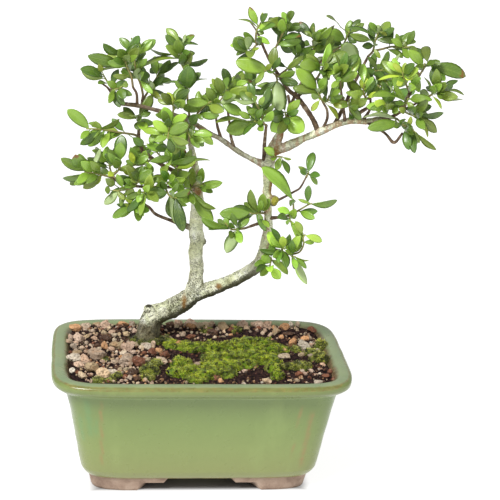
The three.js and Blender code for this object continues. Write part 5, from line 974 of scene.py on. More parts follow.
def bark_material():
    """Silver bark with yellow-green lichen, dark flecks in bands, a brown damp foot, painted shade with more
    flecks on the undersides, and painted shade in the hollows.
    """
    s = Shader("bark", Specular_IOR_Level=0.25)
    age = s.share("age")
    shade = s.share("shade")
    patches = s.noise(130, 5, 0.6, s.stretched(1, 1, 0.7), 0.6)
    pale = s.ramp(patches, (0.3, srgb(176, 172, 146)), (0.43, srgb(232, 232, 204)),
                  (0.58, srgb(250, 251, 226)), (0.75, srgb(255, 255, 250)))
    streaks = s.between(s.noise(420, 5, 0.75, s.stretched(1, 1, 0.55)), 0.5, 0.62)
    pale = s.over(pale, streaks, 0.22, srgb(136, 130, 100))
    lichen = s.between(s.noise(75, 4, 0.6, None, 0.8), 0.44, 0.6)
    pale = s.over(pale, lichen, 0.45, srgb(214, 222, 160))
    bands = s.noise(95, 3, 0.6, None, 0.5)
    dots = s.noise(1050, 5, 0.85, s.stretched(0.8, 0.8, 1.2))
    reach = s.plus(dots, s.times(bands, 0.27))
    # More dark flecks where the painted shade of the undersides lies
    flecks = s.between(s.plus(reach, s.times(shade, 0.26)), 0.655, 0.72)
    flecked = s.share("flecked")
    dull = s.between(s.noise(210, 5, 0.7, None, 0.6), 0.48, 0.62)
    pale = s.mix(s.times(dull, s.between(flecked, 0.45, 1.3)), pale, srgb(132, 128, 92))
    pale = s.mix(s.times(flecks, flecked), pale, srgb(58, 56, 36))
    # Painted shade: patchy darkening of the undersides
    patchy = s.times(shade, s.between(s.noise(560, 4, 0.7), 0.3, 0.6))
    pale = s.over(pale, patchy, 0.42, srgb(78, 76, 44))
    stain = s.between(s.times(s.share("stain"), s.noise(620, 5, 0.8)), 0.16, 0.5)
    pale = s.over(pale, stain, 0.9, srgb(146, 102, 36))
    torn = s.between(s.noise(240, 4, 0.7, s.stretched(1, 1, 0.4)), 0.48, 0.58)
    peel = s.times(s.share("peel"), torn)
    pale = s.over(pale, peel, 0.6, srgb(170, 118, 84))
    damp = s.between(s.plus(s.share("damp"), s.times(s.noise(210, 5, 0.7), 0.6)), 0.5, 1.0)
    foot = s.ramp(s.noise(420, 5, 0.7), (0.35, srgb(40, 34, 22)), (0.5, srgb(88, 78, 54)),
                  (0.66, srgb(140, 130, 98)))
    pale = s.over(pale, damp, 0.85, foot)
    young = s.ramp(s.noise(260, 4, 0.6), (0.3, srgb(66, 54, 44)), (0.55, srgb(120, 98, 78)),
                   (0.75, srgb(182, 168, 144)))
    colour = s.mix(s.between(age, 0.2, 0.55), young, pale)
    rings = s.math("SINE", s.times(s.share("cut_ring"), 26.0))
    wood = s.mix(s.between(rings, 0.2, 1.0), srgb(188, 184, 76), srgb(146, 138, 48))
    colour = s.mix(s.share("cut"), colour, wood)
    # Painted shade in the knob's and the snag's hollows, together with the cut's own dark rim
    colour = s.mix(s.share("hollow_shade_and_cut_rim"), colour, srgb(44, 38, 28))
    bump = s.plus(patches, s.times(s.noise(420, 5, 0.7, s.stretched(1, 1, 0.5)), 0.8))
    return s.finish(colour, 0.85, s.math("SUBTRACT", bump, s.times(flecks, 0.4)), 0.8, 0.0006)


def leaf_material():
    """Glossy leaf: its own tint, a paler rib, fine side veins and a matter underside."""
    s = Shader("leaf", Specular_IOR_Level=0.5, Coat_Weight=0.2, Coat_Roughness=0.25)
    tint = s.attribute("tint")
    along = s.share("leaf_along")
    across = s.math("ABSOLUTE", s.share("leaf_across"))
    under = s.share("leaf_under")
    mottled = s.between(s.noise(210, 4, 0.6), 0.38, 0.7)
    colour = s.mix(s.times(mottled, 0.3), tint, s.mix(0.5, tint, srgb(150, 172, 62)))
    dark = s.between(s.noise(120, 3, 0.5), 0.5, 0.72)
    colour = s.over(colour, dark, 0.3, s.mix(0.6, colour, srgb(40, 72, 18)))
    wave = s.math("SINE", s.math("SUBTRACT", s.times(along, 62.0), s.times(across, 13.0)))
    veins = s.times(s.between(wave, 0.55, 1.0), s.math("SUBTRACT", 1.0, s.between(across, 0.7, 1.0)))
    rib = s.math("SUBTRACT", 1.0, s.between(across, 0.0, 0.07))
    lines = s.math("MAXIMUM", s.times(veins, 0.2), s.times(rib, 0.6))
    colour = s.over(colour, lines, 0.45, srgb(160, 186, 92))
    spots = s.between(s.noise(560, 3, 0.5), 0.72, 0.78)
    colour = s.over(colour, spots, 0.5, srgb(110, 92, 36))
    at_tip = s.between(s.plus(along, s.noise(300, 3)), 1.3, 1.5)
    tip = s.times(s.share("leaf_brown"), at_tip)
    colour = s.mix(tip, colour, srgb(120, 84, 36))
    rough = s.plus(s.ramp(s.noise(180, 2), (0.3, 0.26), (0.7, 0.42)), s.times(under, 0.25))
    return s.finish(colour, rough, s.math("SUBTRACT", 1.0, lines), 0.35, 0.0003)


def stem_material():
    """Young stem: its own tint with paler brown patches."""
    s = Shader("young_stem", Specular_IOR_Level=0.3)
    tint = s.attribute("tint")
    colour = s.mix(s.between(s.noise(400, 4), 0.35, 0.7), tint, s.mix(0.5, tint, srgb(150, 130, 80)))
    return s.finish(colour, 0.6, s.noise(900, 3), 0.3, 0.0002)


def screen_material():
    """Dark plastic of the drain screens."""
    s = Shader("drain_mesh")
    colour = s.ramp(s.noise(400, 3), (0.3, srgb(26, 30, 28)), (0.7, srgb(46, 52, 48)))
    return s.finish(colour, 0.6, s.noise(1200, 2), 0.2, 0.0002)


# Pot
def outline(inset, squareness, count):
    """Rounded oblong outline with evenly spaced points, and no point doubled."""
    angles = np.linspace(0, 2 * math.pi, 4001)
    power = 2 / squareness
    x = (POT_WIDE / 2 - inset) * np.sign(np.cos(angles)) * np.abs(np.cos(angles)) ** power
    y = (POT_DEEP / 2 - inset) * np.sign(np.sin(angles)) * np.abs(np.sin(angles)) ** power
    run = np.concatenate([[0], np.cumsum(np.hypot(np.diff(x), np.diff(y)))])
    places = np.linspace(0, run[-1], count, endpoint=False)
    return np.stack([np.interp(places, run, x), np.interp(places, run, y)], 1)


def profile(rings, step):
    """Finer rings, with the profile's corners softly rounded."""
    rings = np.asarray(rings, float)
    path = np.column_stack([rings[:, 1], np.zeros(len(rings)), rings[:, 0], rings[:, 2]])
    dense = smooth_path(path, step)
    return [(p[2], p[0], p[3]) for p in dense]


def strongest(marks, x, z):
    """Share of the strongest of several marks at a point of the wall."""
    return max(mark_share(mark, x, z) for mark in marks)


def pot_pieces(glaze, clay):
    """The glazed body with shares of worn rim, drips, streaks, and dirt with painted shade on the inner wall,
    and the bare feet.
    """
    count = 300
    outer_wall = profile(OUTER_RINGS, 0.9)
    walls = outer_wall + profile(RIM_TOP_RINGS, 0.9) + profile(INNER_RINGS, 2.0)
    points, worn, rim_top, drips, streaks, dirt = [], [], [], [], [], []
    for order, (z, inset, squareness) in enumerate(walls):
        outer = order < len(outer_wall)
        for x, y in outline(inset, squareness, count):
            ripple = 0.3 * wobble(x / 16, y / 16, z / 10)
            points.append((x * (1 + ripple / 110), y * (1 + ripple / 75), z))
            front = smooth_step(0.86, 0.97, abs(y) / (POT_DEEP / 2 - inset))
            ragged = 0.35 * wobble(x / 5, y / 5, 3.0)
            band = POT_TALL - 0.7 - 2.3 * front + ragged
            edge = smooth_step(band - 0.7, band + 0.7, z) * (0.72 - 0.08 * front) if outer and z > 80 else 0
            if not outer:
                lip = 0.75 * math.exp(-((inset - 2) / 0.7) ** 2)
                edge = lip + 0.5 * math.exp(-((z - 84.6) / 1.0) ** 2) * (inset > 9)
            joint = 0.55 * math.exp(-((z - 19.5) / 0.8) ** 2) if outer else 0
            foot = 0.8 * math.exp(-((z - 11.0) / 0.9) ** 2) if outer else 0
            corner = smooth_step(1.66, 1.9, abs(x) / POT_WIDE * 2 + abs(y) / POT_DEEP * 2)
            worn.append(max(edge, joint, foot, 0.3 * corner if outer and 20 < z < 74 else 0))
            rim_top.append(1 if not outer or z > 85.8 else 0)
            # Dirt and painted shade on the inner wall, below the rim's top
            dirt.append(0 if outer or inset < 8 else smooth_step(85.5, 84.3, z + 2 * ragged))
            on_face = outer and y < 0 and 18 < z < 76
            drips.append(strongest(DRIPS, x, z) if on_face else 0)
            streaks.append(strongest(STREAKS, x, z) if on_face else 0)
    shape = Shape()
    shape.add(points, closed_faces(len(walls), count), worn=worn, rim_top=rim_top, drip=drips,
              streak=streaks, dirt=dirt)
    shape.piece("glazed_pot", [glaze], "glaze", ["pot"])
    feet_piece(clay)


def mark_share(mark, x, z):
    """How strongly a mark colours a point of the wall, 0 to 1."""
    x0, z0, x1, z1, half = mark
    part = min(1.0, max(0.0, (z0 - z) / (z0 - z1)))
    centre = x0 + (x1 - x0) * part + 0.9 * wobble(x0, z / 6, 1.0)
    fade = smooth_step(z1 - 3, z1 + 4, z) * (1 - smooth_step(z0 - 4, z0 + 3, z))
    broken = 0.7 + 0.5 * wobble(x0, z / 2.5, 7.0)
    return fade * math.exp(-((x - centre) / half) ** 2) * broken


def under_foot(x, y):
    """Height of the feet's underside at a place."""
    height = 0.0
    for step, floor_x, top_x, floor_y, top_y in FOOT_STEPS:
        for reach, floor_half, top_half in ((abs(x), floor_x, top_x), (abs(y), floor_y, top_y)):
            height = max(height, step * smooth_step(floor_half, top_half, reach))
    return height


def feet_piece(clay):
    """The ring of bare clay under the pot, cut into four bracket feet."""
    count, rows = 720, 8
    top = outline(FOOT_INSET_TOP, FOOT_SQUARENESS, count)
    bottom = outline(FOOT_INSET_BOTTOM, FOOT_SQUARENESS, count)
    inner = outline(FOOT_INSET_BOTTOM + FOOT_THICK, FOOT_SQUARENESS, count)
    lows = [under_foot(x, y) for x, y in bottom]
    points, inside = [], []
    for row in range(rows):
        share = row / (rows - 1)
        for (tx, ty), (bx, by), low in zip(top, bottom, lows):
            bulge = 0.25 * wobble(bx / 7, by / 7, share)
            z = low + (FOOT_TALL - low) * share
            part = z / FOOT_TALL
            points.append((bx + (tx - bx) * part + bulge, by + (ty - by) * part + bulge, z))
            inside.append(0)
    # The inner faces under the pot carry painted shade
    points += [(x, y, FOOT_TALL) for x, y in inner]
    points += [(x, y, low) for (x, y), low in zip(inner, lows)]
    inside += [1] * (2 * count)
    faces = ring_faces(rows + 2, count)
    last = (rows + 1) * count
    faces += [(last + i, last + (i + 1) % count, (i + 1) % count, i) for i in range(count)]
    feet = Shape()
    feet.add(points, faces, inside=inside)
    feet.piece("bare_feet", [clay], "glaze", ["pot"])


# Soil, gravel and moss
def soil_height(x, y):
    """Height of the soil without its crumbs, heaped at the back and on the left."""
    mound = SOIL_MOUND * math.exp(-((x + 20) ** 2 / 3600 + (y - 20) ** 2 / 1600))
    waves = 0.5 * math.sin(x / 9 + 1) * math.cos(y / 7) + 0.35 * math.sin(x / 4.3 - y / 5.1)
    heap = 2.9 * smooth_step(28, 51, y) + 2.0 * smooth_step(60, 84, -x)
    return SOIL_LEVEL + mound + waves + heap


def moss_edge(angle):
    """Distance from the middle of the large moss patch to its outline in a direction."""
    turn = 2 * math.pi
    corners = []
    for x, y in MOSS_OUTLINE:
        dx, dy = x - MOSS_MIDDLE[0], y - MOSS_MIDDLE[1]
        corners.append(((angle - math.atan2(dy, dx)) % turn, math.hypot(dx, dy)))
    before, after = min(corners), max(corners)
    part = before[0] / (before[0] + turn - after[0])
    return before[1] + part * (after[1] - before[1])


def moss_reach(x, y):
    """Distance from the middle of the large moss patch, where 1 is its outline."""
    dx, dy = x - MOSS_MIDDLE[0], y - MOSS_MIDDLE[1]
    return math.hypot(dx, dy) / moss_edge(math.atan2(dy, dx))


def crumbly(x, y):
    """Height of the soil with its crumbs."""
    crumb = noise.fractal(Vector((x / 2.6, y / 2.6, 0.3)), 0.8, 2.1, 4)
    return soil_height(x, y) + 1.0 * crumb


def soil_pieces(soil):
    """Soil up to the inner wall of the pot."""
    count = 320
    sides = [(FLOOR_TOP + 10, 26.5, 7.5), (SOIL_LEVEL - 9, 17.4, 8), (SOIL_LEVEL - 3, 14.2, 8)]
    edge = outline(12.9, 8, count)
    points = [(x, y, z) for z, inset, squareness in sides for x, y in outline(inset, squareness, count)]
    scales = np.linspace(1.0, 0.02, 80)
    for scale in scales:
        sink = 0.8 * smooth_step(0.95, 1.0, scale)
        points += [(x * scale, y * scale, crumbly(x * scale, y * scale) - sink) for x, y in edge]
    shape = Shape()
    shape.add(points, closed_faces(len(scales) + len(sides), count))
    shape.piece("soil_bed", [soil], "soil", ["soil"])


def angular(x, y, z, size, flatness, draw, detail):
    """An angular stone: a ball cut by random planes."""
    ways = []
    for _ in range(STONE_PLANES):
        way = unit(np.array([draw() - 0.5, draw() - 0.5, draw() - 0.5]) + 1e-6)
        ways.append((way, 0.45 + 0.35 * draw()))
    narrow = 0.75 + 0.25 * draw()
    turn = 2 * math.pi * draw()
    tilt = 0.5 * (draw() - 0.5)
    seed = Vector((100 * draw(), 100 * draw(), 100 * draw()))
    directions = np.array(BALLS[detail][0])
    reach = np.ones(len(directions))
    for way, depth in ways:
        facing = directions @ way
        reach = np.where(facing > 0.2, np.minimum(reach, depth / np.maximum(facing, 0.2)), reach)
    rough = [noise.noise(Vector(d) * 1.6 + seed) + 0.7 * noise.noise(Vector(d) * 4.5 + seed)
             for d in directions]
    reach = reach * (1 + 0.24 * np.array(rough))
    points = directions * reach[:, None] * np.array([1, narrow, flatness]) * size / 2
    points = points * STONE_GROWTH[detail]
    spin = np.array(Matrix.Rotation(turn, 3, "Z") @ Matrix.Rotation(tilt, 3, "X"))
    return points @ spin.T + (x, y, z), BALLS[detail][1]


def unit_ball(detail):
    """Points and faces of a ball made of triangles."""
    ball = bmesh.new()
    bmesh.ops.create_icosphere(ball, subdivisions=detail, radius=1)
    data = ([tuple(v.co) for v in ball.verts], [tuple(v.index for v in f.verts) for f in ball.faces])
    ball.free()
    return data


BALLS = {detail: unit_ball(detail) for detail in (1, 2, 3)}

STONE_TINTS = {
    "o": srgb(226, 176, 130), "p": srgb(224, 194, 170), "g": srgb(208, 188, 166), "k": srgb(204, 184, 150),
    "w": srgb(238, 226, 206), "c": srgb(232, 210, 178), "r": srgb(142, 92, 70), "d": srgb(86, 64, 52),
}


def in_pot(x, y, inset=15):
    """Whether a place lies within the rim's outline, set in by some millimetres."""
    return (abs(x) / (POT_WIDE / 2 - inset)) ** 7 + (abs(y) / (POT_DEEP / 2 - inset)) ** 7 < 1


def seen_place(x, y, size):
    """A stone's place, moved along the line of sight when the pot's wall is in its way."""
    slide = max(abs(y) - (STONES_TO_Y - size / 2), (abs(x) - (STONES_TO_X - size / 2)) / 2, 0)
    lift = 0.3 * slide * (1 if y > 0 else -1)
    return x, y - math.copysign(slide, y), min(0.5, max(-1.0, lift))


def soil_spot(draw):
    """A random place on the soil."""
    return -SPREAD_X + 2 * SPREAD_X * draw(), -SPREAD_Y + 2 * SPREAD_Y * draw()


def stone_pieces(stone):
    """The stones of the photograph, smaller ones between them, and grit."""
    draw = random_from(STONE_SEED)
    shape = Shape()
    placed = []
    for x, y, size, tone, flatness in STONES:
        x, y, lift = seen_place(x, y, size)
        x = math.copysign(min(abs(x), STONES_TO_X - size / 2), x)
        placed.append((x, y, size))
        z = soil_height(x, y) + 0.3 * size * flatness + lift - 0.9 * smooth_step(44, 54, y)
        form = angular(x, y, z, size, flatness, draw, 3 if size > 5 else 2)
        shape.add(*form, 0, varied(STONE_TINTS[tone], draw))
    shape.piece("gravel", [stone], "soil", ["soil"], smooth=False)

    small = Shape()
    for _ in range(SMALL_STONES):
        x, y = soil_spot(draw)
        size = 1.8 + 4.2 * draw() ** 1.7
        tone, chance = SMALL_TONES[int(draw() * len(SMALL_TONES))], draw()
        left, back, right = x < -38 + 8 * draw(), y > 33, x > 64
        share = 0.8 if left else 0.45 if back else 0.12 if right else 0.02
        at_trunk = math.hypot(x - TRUNK_FOOT[0], y - TRUNK_FOOT[1]) < TRUNK_CLEAR
        if not in_pot(x, y) or moss_reach(x, y) < 1.0 or at_trunk or chance > share:
            continue
        if any(math.hypot(px - x, py - y) < 0.4 * (ps + size) for px, py, ps in placed):
            continue
        placed.append((x, y, size))
        z = crumbly(x, y) + 0.12 * size
        small.add(*angular(x, y, z, size, 0.75, draw, 1), 0, varied(STONE_TINTS[tone], draw))
    small.piece("small_gravel", [stone], "soil", ["soil"], smooth=False)

    grit = Shape()
    for _ in range(GRIT_GRAINS):
        x, y = soil_spot(draw)
        size = 0.7 + 1.7 * draw() ** 2
        tone, dark = GRIT_TONES[int(draw() * len(GRIT_TONES))], 0.35 + 0.75 * draw()
        if in_pot(x, y) and moss_reach(x, y) > 0.3:
            tint = tuple(dark * c for c in STONE_TINTS[tone][:3]) + (1,)
            grit.add(*angular(x, y, crumbly(x, y) + 0.25 * size, size, 0.9, draw, 1), 0, tint)
    grit.piece("grit", [stone], "soil", ["soil"], smooth=False)


def varied(tint, draw):
    """A tint made a little lighter or darker, and warmer or cooler."""
    shade, warm = 0.85 + 0.45 * draw(), 0.04 + 0.12 * (draw() - 0.5)
    return (tint[0] * shade * (1 + warm), tint[1] * shade, tint[2] * shade * (1 - warm), 1.0)


# Foot, middle and tip of the moss's blades for each tone, as display values
MOSS_TONES = {
    "g": ((92, 122, 10), (212, 234, 36), (255, 255, 96)),
    "o": ((74, 82, 20), (170, 172, 58), (222, 216, 118)),
    "d": ((44, 48, 20), (104, 104, 46), (156, 150, 86)),
}


def cushion_owner(x, y):
    """The piece a cushion of moss belongs to."""
    if math.hypot(x - MOSS_PATCH[0], y - MOSS_PATCH[1]) < TUFT_REACH:
        return "moss_tuft"
    return "moss_bed" if moss_reach(x, y) < 1.02 else "moss_scraps"


def moss_pieces(moss):
    """Cushions of moss: lumpy domes covered in small stars of blades."""
    draw = random_from(MOSS_SEED)
    directions, ball = np.array(BALLS[3][0]), BALLS[3][1]
    shapes = {"moss_bed": Shape(), "moss_tuft": Shape(), "moss_scraps": Shape()}
    for x, y, reach, tall, tone in CUSHIONS:
        pull = next(p for p in np.arange(1.0, 0.6, -0.01) if in_pot(p * x, p * y, 10 + 0.8 * reach))
        x, y = pull * x, pull * y
        reach, tall = CUSHION_WIDER * reach, CUSHION_TALLER * tall
        shape = shapes[cushion_owner(x, y)]
        dark, middle, bright = MOSS_TONES[tone]
        seed = Vector((x, y, 0)) * 0.13

        def skin(way):
            lumps = 1 + 0.4 * noise.noise(Vector(way) * 2.3 + seed)
            lumps += 0.3 * noise.noise(Vector(way) * 5 + seed)
            return np.array([way[0] * reach, way[1] * reach, max(-0.4, way[2]) * tall]) * lumps

        base = np.array([x, y, soil_height(x, y) - 0.2])
        shape.add([base + skin(d) for d in directions], ball, 0, srgb(*dark))
        for _ in range(int(2.5 * reach * (reach + tall))):
            angle, rise = 2 * math.pi * draw(), draw() ** 0.8
            flat = math.sqrt(1 - rise * rise)
            way = np.array([flat * math.cos(angle), flat * math.sin(angle), rise])
            out = unit(way * (1 / reach, 1 / reach, 1 / tall))
            moss_star(shape, base + skin(way), out, draw, dark, middle, bright)
    for name, node in (("moss_bed", "moss_large"), ("moss_tuft", "moss_small"), ("moss_scraps", "soil")):
        shapes[name].piece(name, [moss], "moss", [node])


def moss_star(shape, root, out, draw, dark, middle, bright):
    """Five or six blades that spread from one root."""
    side = unit(np.cross(out, [0.3, 0.2, 0.93]))
    other = np.cross(out, side)
    share = draw() ** 1.4
    # Noise makes patches of blades brighter or darker: the moss's own patchy tone together with painted light
    # and shade of its clumps
    clump_tone_and_light = smooth_step(-0.24, 0.2, noise.noise(Vector(root) / 3.1) + 0.5 * noise.noise(Vector(root) / 1.3))
    tip_tint = [min(255, (m + (b - m) * share) * (0.46 + 1.04 * clump_tone_and_light)) for m, b in zip(middle, bright)]
    low, high = srgb(*(d * (0.42 + 1.6 * clump_tone_and_light) for d in dark)), srgb(*tip_tint)
    count, start, size = 5 + int(2 * draw()), 6.3 * draw(), 1.2 + 1.1 * draw()
    for k in range(count):
        angle = start + 2 * math.pi * k / count
        away = math.cos(angle) * side + math.sin(angle) * other
        flank = np.cross(out, away)
        tip = root + size * (0.85 * away + (0.35 + 0.5 * draw()) * out)
        foot = root - 0.25 * out
        points = [foot + 0.24 * flank, foot - 0.24 * flank, root + 0.4 * size * away + 0.25 * out, tip]
        shape.add(points, [(0, 2, 3), (2, 1, 3), (1, 0, 3), (0, 1, 2)], 0, [low, low, high, high])


# Wood
def wood_pieces(bark):
    """Large limbs melted into one skin with bark relief, and smaller twigs set into them."""
    large = LIMBS[:LARGE_LIMBS] + LIMBS[-END_LIMBS:-1] + [CUT_END]
    shape = Shape()
    for order, path in enumerate(large):
        seed = 13.0 * order

        def uneven(_, angle, point):
            place = (math.cos(angle) * 1.2, math.sin(angle) * 1.2 + seed, point[2] / 9)
            return 1 + 0.10 * wobble(*place)

        shape.add(*tube(smooth_path(path, 1.6), 24, uneven))
    holder = linked("rough", mesh_of("rough", shape.points, shape.faces))
    remesh = holder.modifiers.new("skin", "REMESH")
    remesh.mode = "VOXEL"
    remesh.voxel_size = SKIN_VOXEL
    graph = bpy.context.evaluated_depsgraph_get()
    skin = bpy.data.meshes.new_from_object(holder.evaluated_get(graph))
    bpy.data.objects.remove(holder)
    points = np.zeros(len(skin.vertices) * 3)
    skin.vertices.foreach_get("co", points)
    points = points.reshape(-1, 3) * 1000 - (POT_MIDDLE_X, 0, 0)
    faces = [tuple(f.vertices) for f in skin.polygons]
    bpy.data.meshes.remove(skin)
    points = relaxed(points, faces, 3)
    normals = point_normals(points, faces)
    radii = nearest_radius(points, large)
    relief = []
    for p, radius in zip(points, radii):
        ridges = noise.fractal(Vector((p[0] / 3.0, p[1] / 3.0, p[2] / 5.0)), 0.7, 2.2, 4)
        grain = wobble(p[0] / 0.9, p[1] / 0.9, p[2] / 1.3)
        swell = wobble(p[0] / 9, p[1] / 9, p[2] / 11)
        relief.append((0.15 * ridges + 0.06 * grain + 0.2 * swell) * min(radius, 6) ** 0.8)
    points = points + normals * np.array(relief)[:, None]
    values = wood_marks(points, normals)
    values["age"] = clipped((radii - 0.9) / 2.2)
    add_piece("wood", points, faces, [bark], ["tree"], values)

    twigs = Shape()
    sides = 9
    for order, path in enumerate(LIMBS[LARGE_LIMBS:-END_LIMBS]):
        fine = smooth_path(path, 1.2)
        kinks = [1 + 0.16 * wobble(i * 0.7, order * 3.7, 0) for i in range(len(fine))]
        points, faces = tube(fine, sides, lambda i, *_: kinks[i])
        radius = np.repeat([p[3] for p in fine], sides)
        radius = np.concatenate([radius, [fine[0][3], fine[-1][3]]])
        twigs.add(points, faces, age=np.clip((radius - 1.4) / 2.4, 0, 0.5), flecked=0.8)
    twigs.piece("twigs", [bark], "bark", ["tree"])


def wood_marks(points, normals):
    """Shares of the bark's marks, and of painted shade, at each point of the skin."""
    x, y, z = points.T
    stain = np.zeros(len(points))
    for stain_x, stain_z, half, tall in STAINS:
        spot = np.exp(-((x - stain_x) / half) ** 2 - ((z - stain_z) / tall) ** 2)
        stain = np.maximum(stain, spot * (y < 40))

    # Painted shade of the hollows in the knob and the snag, and of the ragged hollow on the knob's top, which
    # the skin does not model
    knob_end = LIMBS[-END_LIMBS][-1][:3]
    knob = np.array(knob_end) + (0.6, 0.4, 2.2)
    hollow_shade_and_cut_rim = 1 - clipped((np.linalg.norm(points - knob, axis=1) - 1.7) / 0.9)
    snag = np.array(LIMBS[-END_LIMBS + 1][-1][:3])
    snag_hollow = 1 - clipped((np.linalg.norm(points - snag, axis=1) - 1.6) / 1.4)
    hollow_shade_and_cut_rim = np.maximum(hollow_shade_and_cut_rim, 0.7 * snag_hollow)
    top = np.linalg.norm(points - knob_end - np.array([0.4, 0, 1.6]), axis=1)
    ragged = np.array([noise.noise(Vector(p) / 1.1) for p in points]) * (top < 6)
    hollow_shade_and_cut_rim = np.maximum(hollow_shade_and_cut_rim, 0.9 * clipped((3.6 - top + 1.6 * ragged) / 0.8) * (normals[:, 2] > 0.1))

    # The flat cut, with its rings and a dark rim
    before, end = (np.array(p[:3], float) for p in CUT_END[-2:])
    way = unit(end - before)
    along = (points - end) @ way
    off = np.linalg.norm(points - end - along[:, None] * way, axis=1)
    near_end = (along > -1.4) & (off < 4.5)
    cut = near_end * clipped((3.4 - off) / 0.35) * clipped((along + 0.7) / 0.3)
    rim = near_end * clipped(1 - np.abs(off - 3.8) / 0.5) * 0.8

    # Painted shade under the leaning trunk and on its old foot, from the points' normals
    leaning = 0.3 * clipped((x - 12) / 10) * clipped((150 - z) / 8)
    old = clipped((128 - z) / 8) * clipped((34 - x) / 24)
    under = clipped((leaning - 0.08 - normals[:, 2]) / 0.7)
    return {
        "peel": clipped((z - 140) / 30) * (x > 30) + clipped((z - 172) / 14) * (x < 20),
        "flecked": 0.5 + 0.4 * clipped((146 - z) / 12),
        "shade": clipped(under + 0.06 * old),
        "stain": stain,
        "hollow_shade_and_cut_rim": np.maximum(hollow_shade_and_cut_rim, rim),
        "damp": clipped((103 - z) / 12),
        "cut": cut,
        "cut_ring": off,
    }


def relaxed(points, faces, rounds):
    """Points moved to the mean of their neighbours, a few times, which takes out the voxels' steps."""
    edges = np.array([(f[i], f[(i + 1) % len(f)]) for f in faces for i in range(len(f))])
    for _ in range(rounds):
        total = np.zeros_like(points)
        count = np.zeros(len(points))
        np.add.at(total, edges[:, 0], points[edges[:, 1]])
        np.add.at(count, edges[:, 0], 1)
        points = 0.4 * points + 0.6 * total / np.maximum(count, 1)[:, None]
    return points


def point_normals(points, faces):
    """Direction away from the skin at each point."""
    corners = np.array([f[:3] for f in faces])
    a, b, c = (points[corners[:, k]] for k in range(3))
    flat = np.cross(b - a, c - a)
    total = np.zeros_like(points)
    for k in range(3):
        np.add.at(total, corners[:, k], flat)
    for f, n in zip(faces, flat):
        if len(f) == 4:
            total[f[3]] += n
    return total / np.maximum(np.linalg.norm(total, axis=1), 1e-9)[:, None]


def nearest_radius(points, limbs):
    """Radius of the nearest large limb at each point."""
    centres = np.vstack([smooth_path(path, 2.0) for path in limbs])
    radii = np.empty(len(points))
    batch = 4000
    for start in range(0, len(points), batch):
        part = points[start:start + batch]
        gaps = np.linalg.norm(part[:, None] - centres[None, :, :3], axis=2) - centres[None, :, 3]
        radii[start:start + batch] = centres[np.argmin(gaps, axis=1), 3]
    return radii


# Foliage
def path_lengths(path):
    """Distance along the path to each of its points."""
    path = np.asarray(path, float)
    return np.concatenate([[0], np.cumsum(np.linalg.norm(np.diff(path[:, :3], axis=0), axis=1))])


def path_point(path, distance):
    """Place and direction at a distance along the path."""
    lengths = path_lengths(path)
    i = 1
    while i + 1 < len(path) and lengths[i] < distance:
        i += 1
    start, end = np.array(path[i - 1][:3], float), np.array(path[i][:3], float)
    part = (distance - lengths[i - 1]) / (lengths[i] - lengths[i - 1])
    return start + part * (end - start), unit(end - start)


def leaf_axes(root, tip, roll):
    """Directions along the leaf, out of its upper face and across it."""
    along = unit(tip - root)
    face = -SIGHT - along * np.dot(-SIGHT, along)
    if np.linalg.norm(face) < 0.2:
        face = np.array([0, 0, 1.0]) - along * along[2]
    face = turned(unit(face), along, math.radians(roll))
    return along, face, np.cross(along, face)


def leaf_samples(leaf):
    """Points spread over the leaf, and which of them are near its root."""
    along, _, across = leaf_axes(leaf["root"], leaf["tip"], leaf["roll"])
    whole = np.linalg.norm(leaf["tip"] - leaf["root"])
    stalk = max(0, whole - leaf["long"])
    points, near = [], []
    d = 1.5
    while d <= whole + 0.5:
        part = (d - stalk) / (whole - stalk)
        half = 0 if part <= 0 else 0.5 * leaf["wide"] * math.sin(math.pi * min(1, part) ** 1.35)
        steps = math.ceil(half / SAMPLE_STEP)
        for k in range(-steps, steps + 1):
            points.append(leaf["root"] + along * d + across * (half * k / steps if steps else 0))
            near.append(d < ROOT_ZONE)
        d += SAMPLE_STEP
    return np.array(points), np.array(near)


def segments_of(path, group, radius=None):
    """The path's straight pieces: start, end, radius and the group they belong to."""
    return [(np.array(a[:3], float), np.array(b[:3], float), radius or max(a[3], b[3]), group)
            for a, b in zip(path, path[1:])]


class LeafField:
    """Placed leaves and wood, to test whether a new leaf is clear of them."""

    def __init__(self, segments):
        self.starts = np.array([s[0] for s in segments])
        self.runs = np.array([s[1] - s[0] for s in segments])
        self.radii = np.array([s[2] for s in segments])
        self.groups = np.array([s[3] for s in segments])
        self.points = np.zeros((0, 3))
        self.near = np.zeros(0, bool)
        self.owners = np.zeros(0, int)

    def clear(self, points, near, group, shrink):
        """Whether the points keep their clearances, scaled by shrink."""
        low, high = points.min(0) - 4, points.max(0) + 4
        close = np.all((self.points > low) & (self.points < high), axis=1)
        if close.any():
            gaps = np.linalg.norm(points[:, None] - self.points[close][None], axis=2)
            own = (self.owners[close] == group)[None, :]
            limit = np.where(own, OWN_CLEARANCE, LEAF_CLEARANCE) * shrink
            excused = own & (near[:, None] | self.near[close][None, :])
            if np.any(~excused & (gaps < limit)):
                return False
        offset = points[:, None] - self.starts[None]
        part = np.clip((offset * self.runs).sum(2) / (self.runs ** 2).sum(1), 0, 1)
        gaps = np.linalg.norm(offset - part[..., None] * self.runs, axis=2)
        own = (self.groups == group)[None, :]
        limit = self.radii + np.where(own, 0.6, WOOD_CLEARANCE) * shrink
        return not np.any(~(own & near[:, None]) & (gaps <= limit))

    def add(self, points, near, group):
        """Remembers a placed leaf."""
        self.points = np.vstack([self.points, points])
        self.near = np.concatenate([self.near, near])
        self.owners = np.concatenate([self.owners, np.full(len(near), group)])


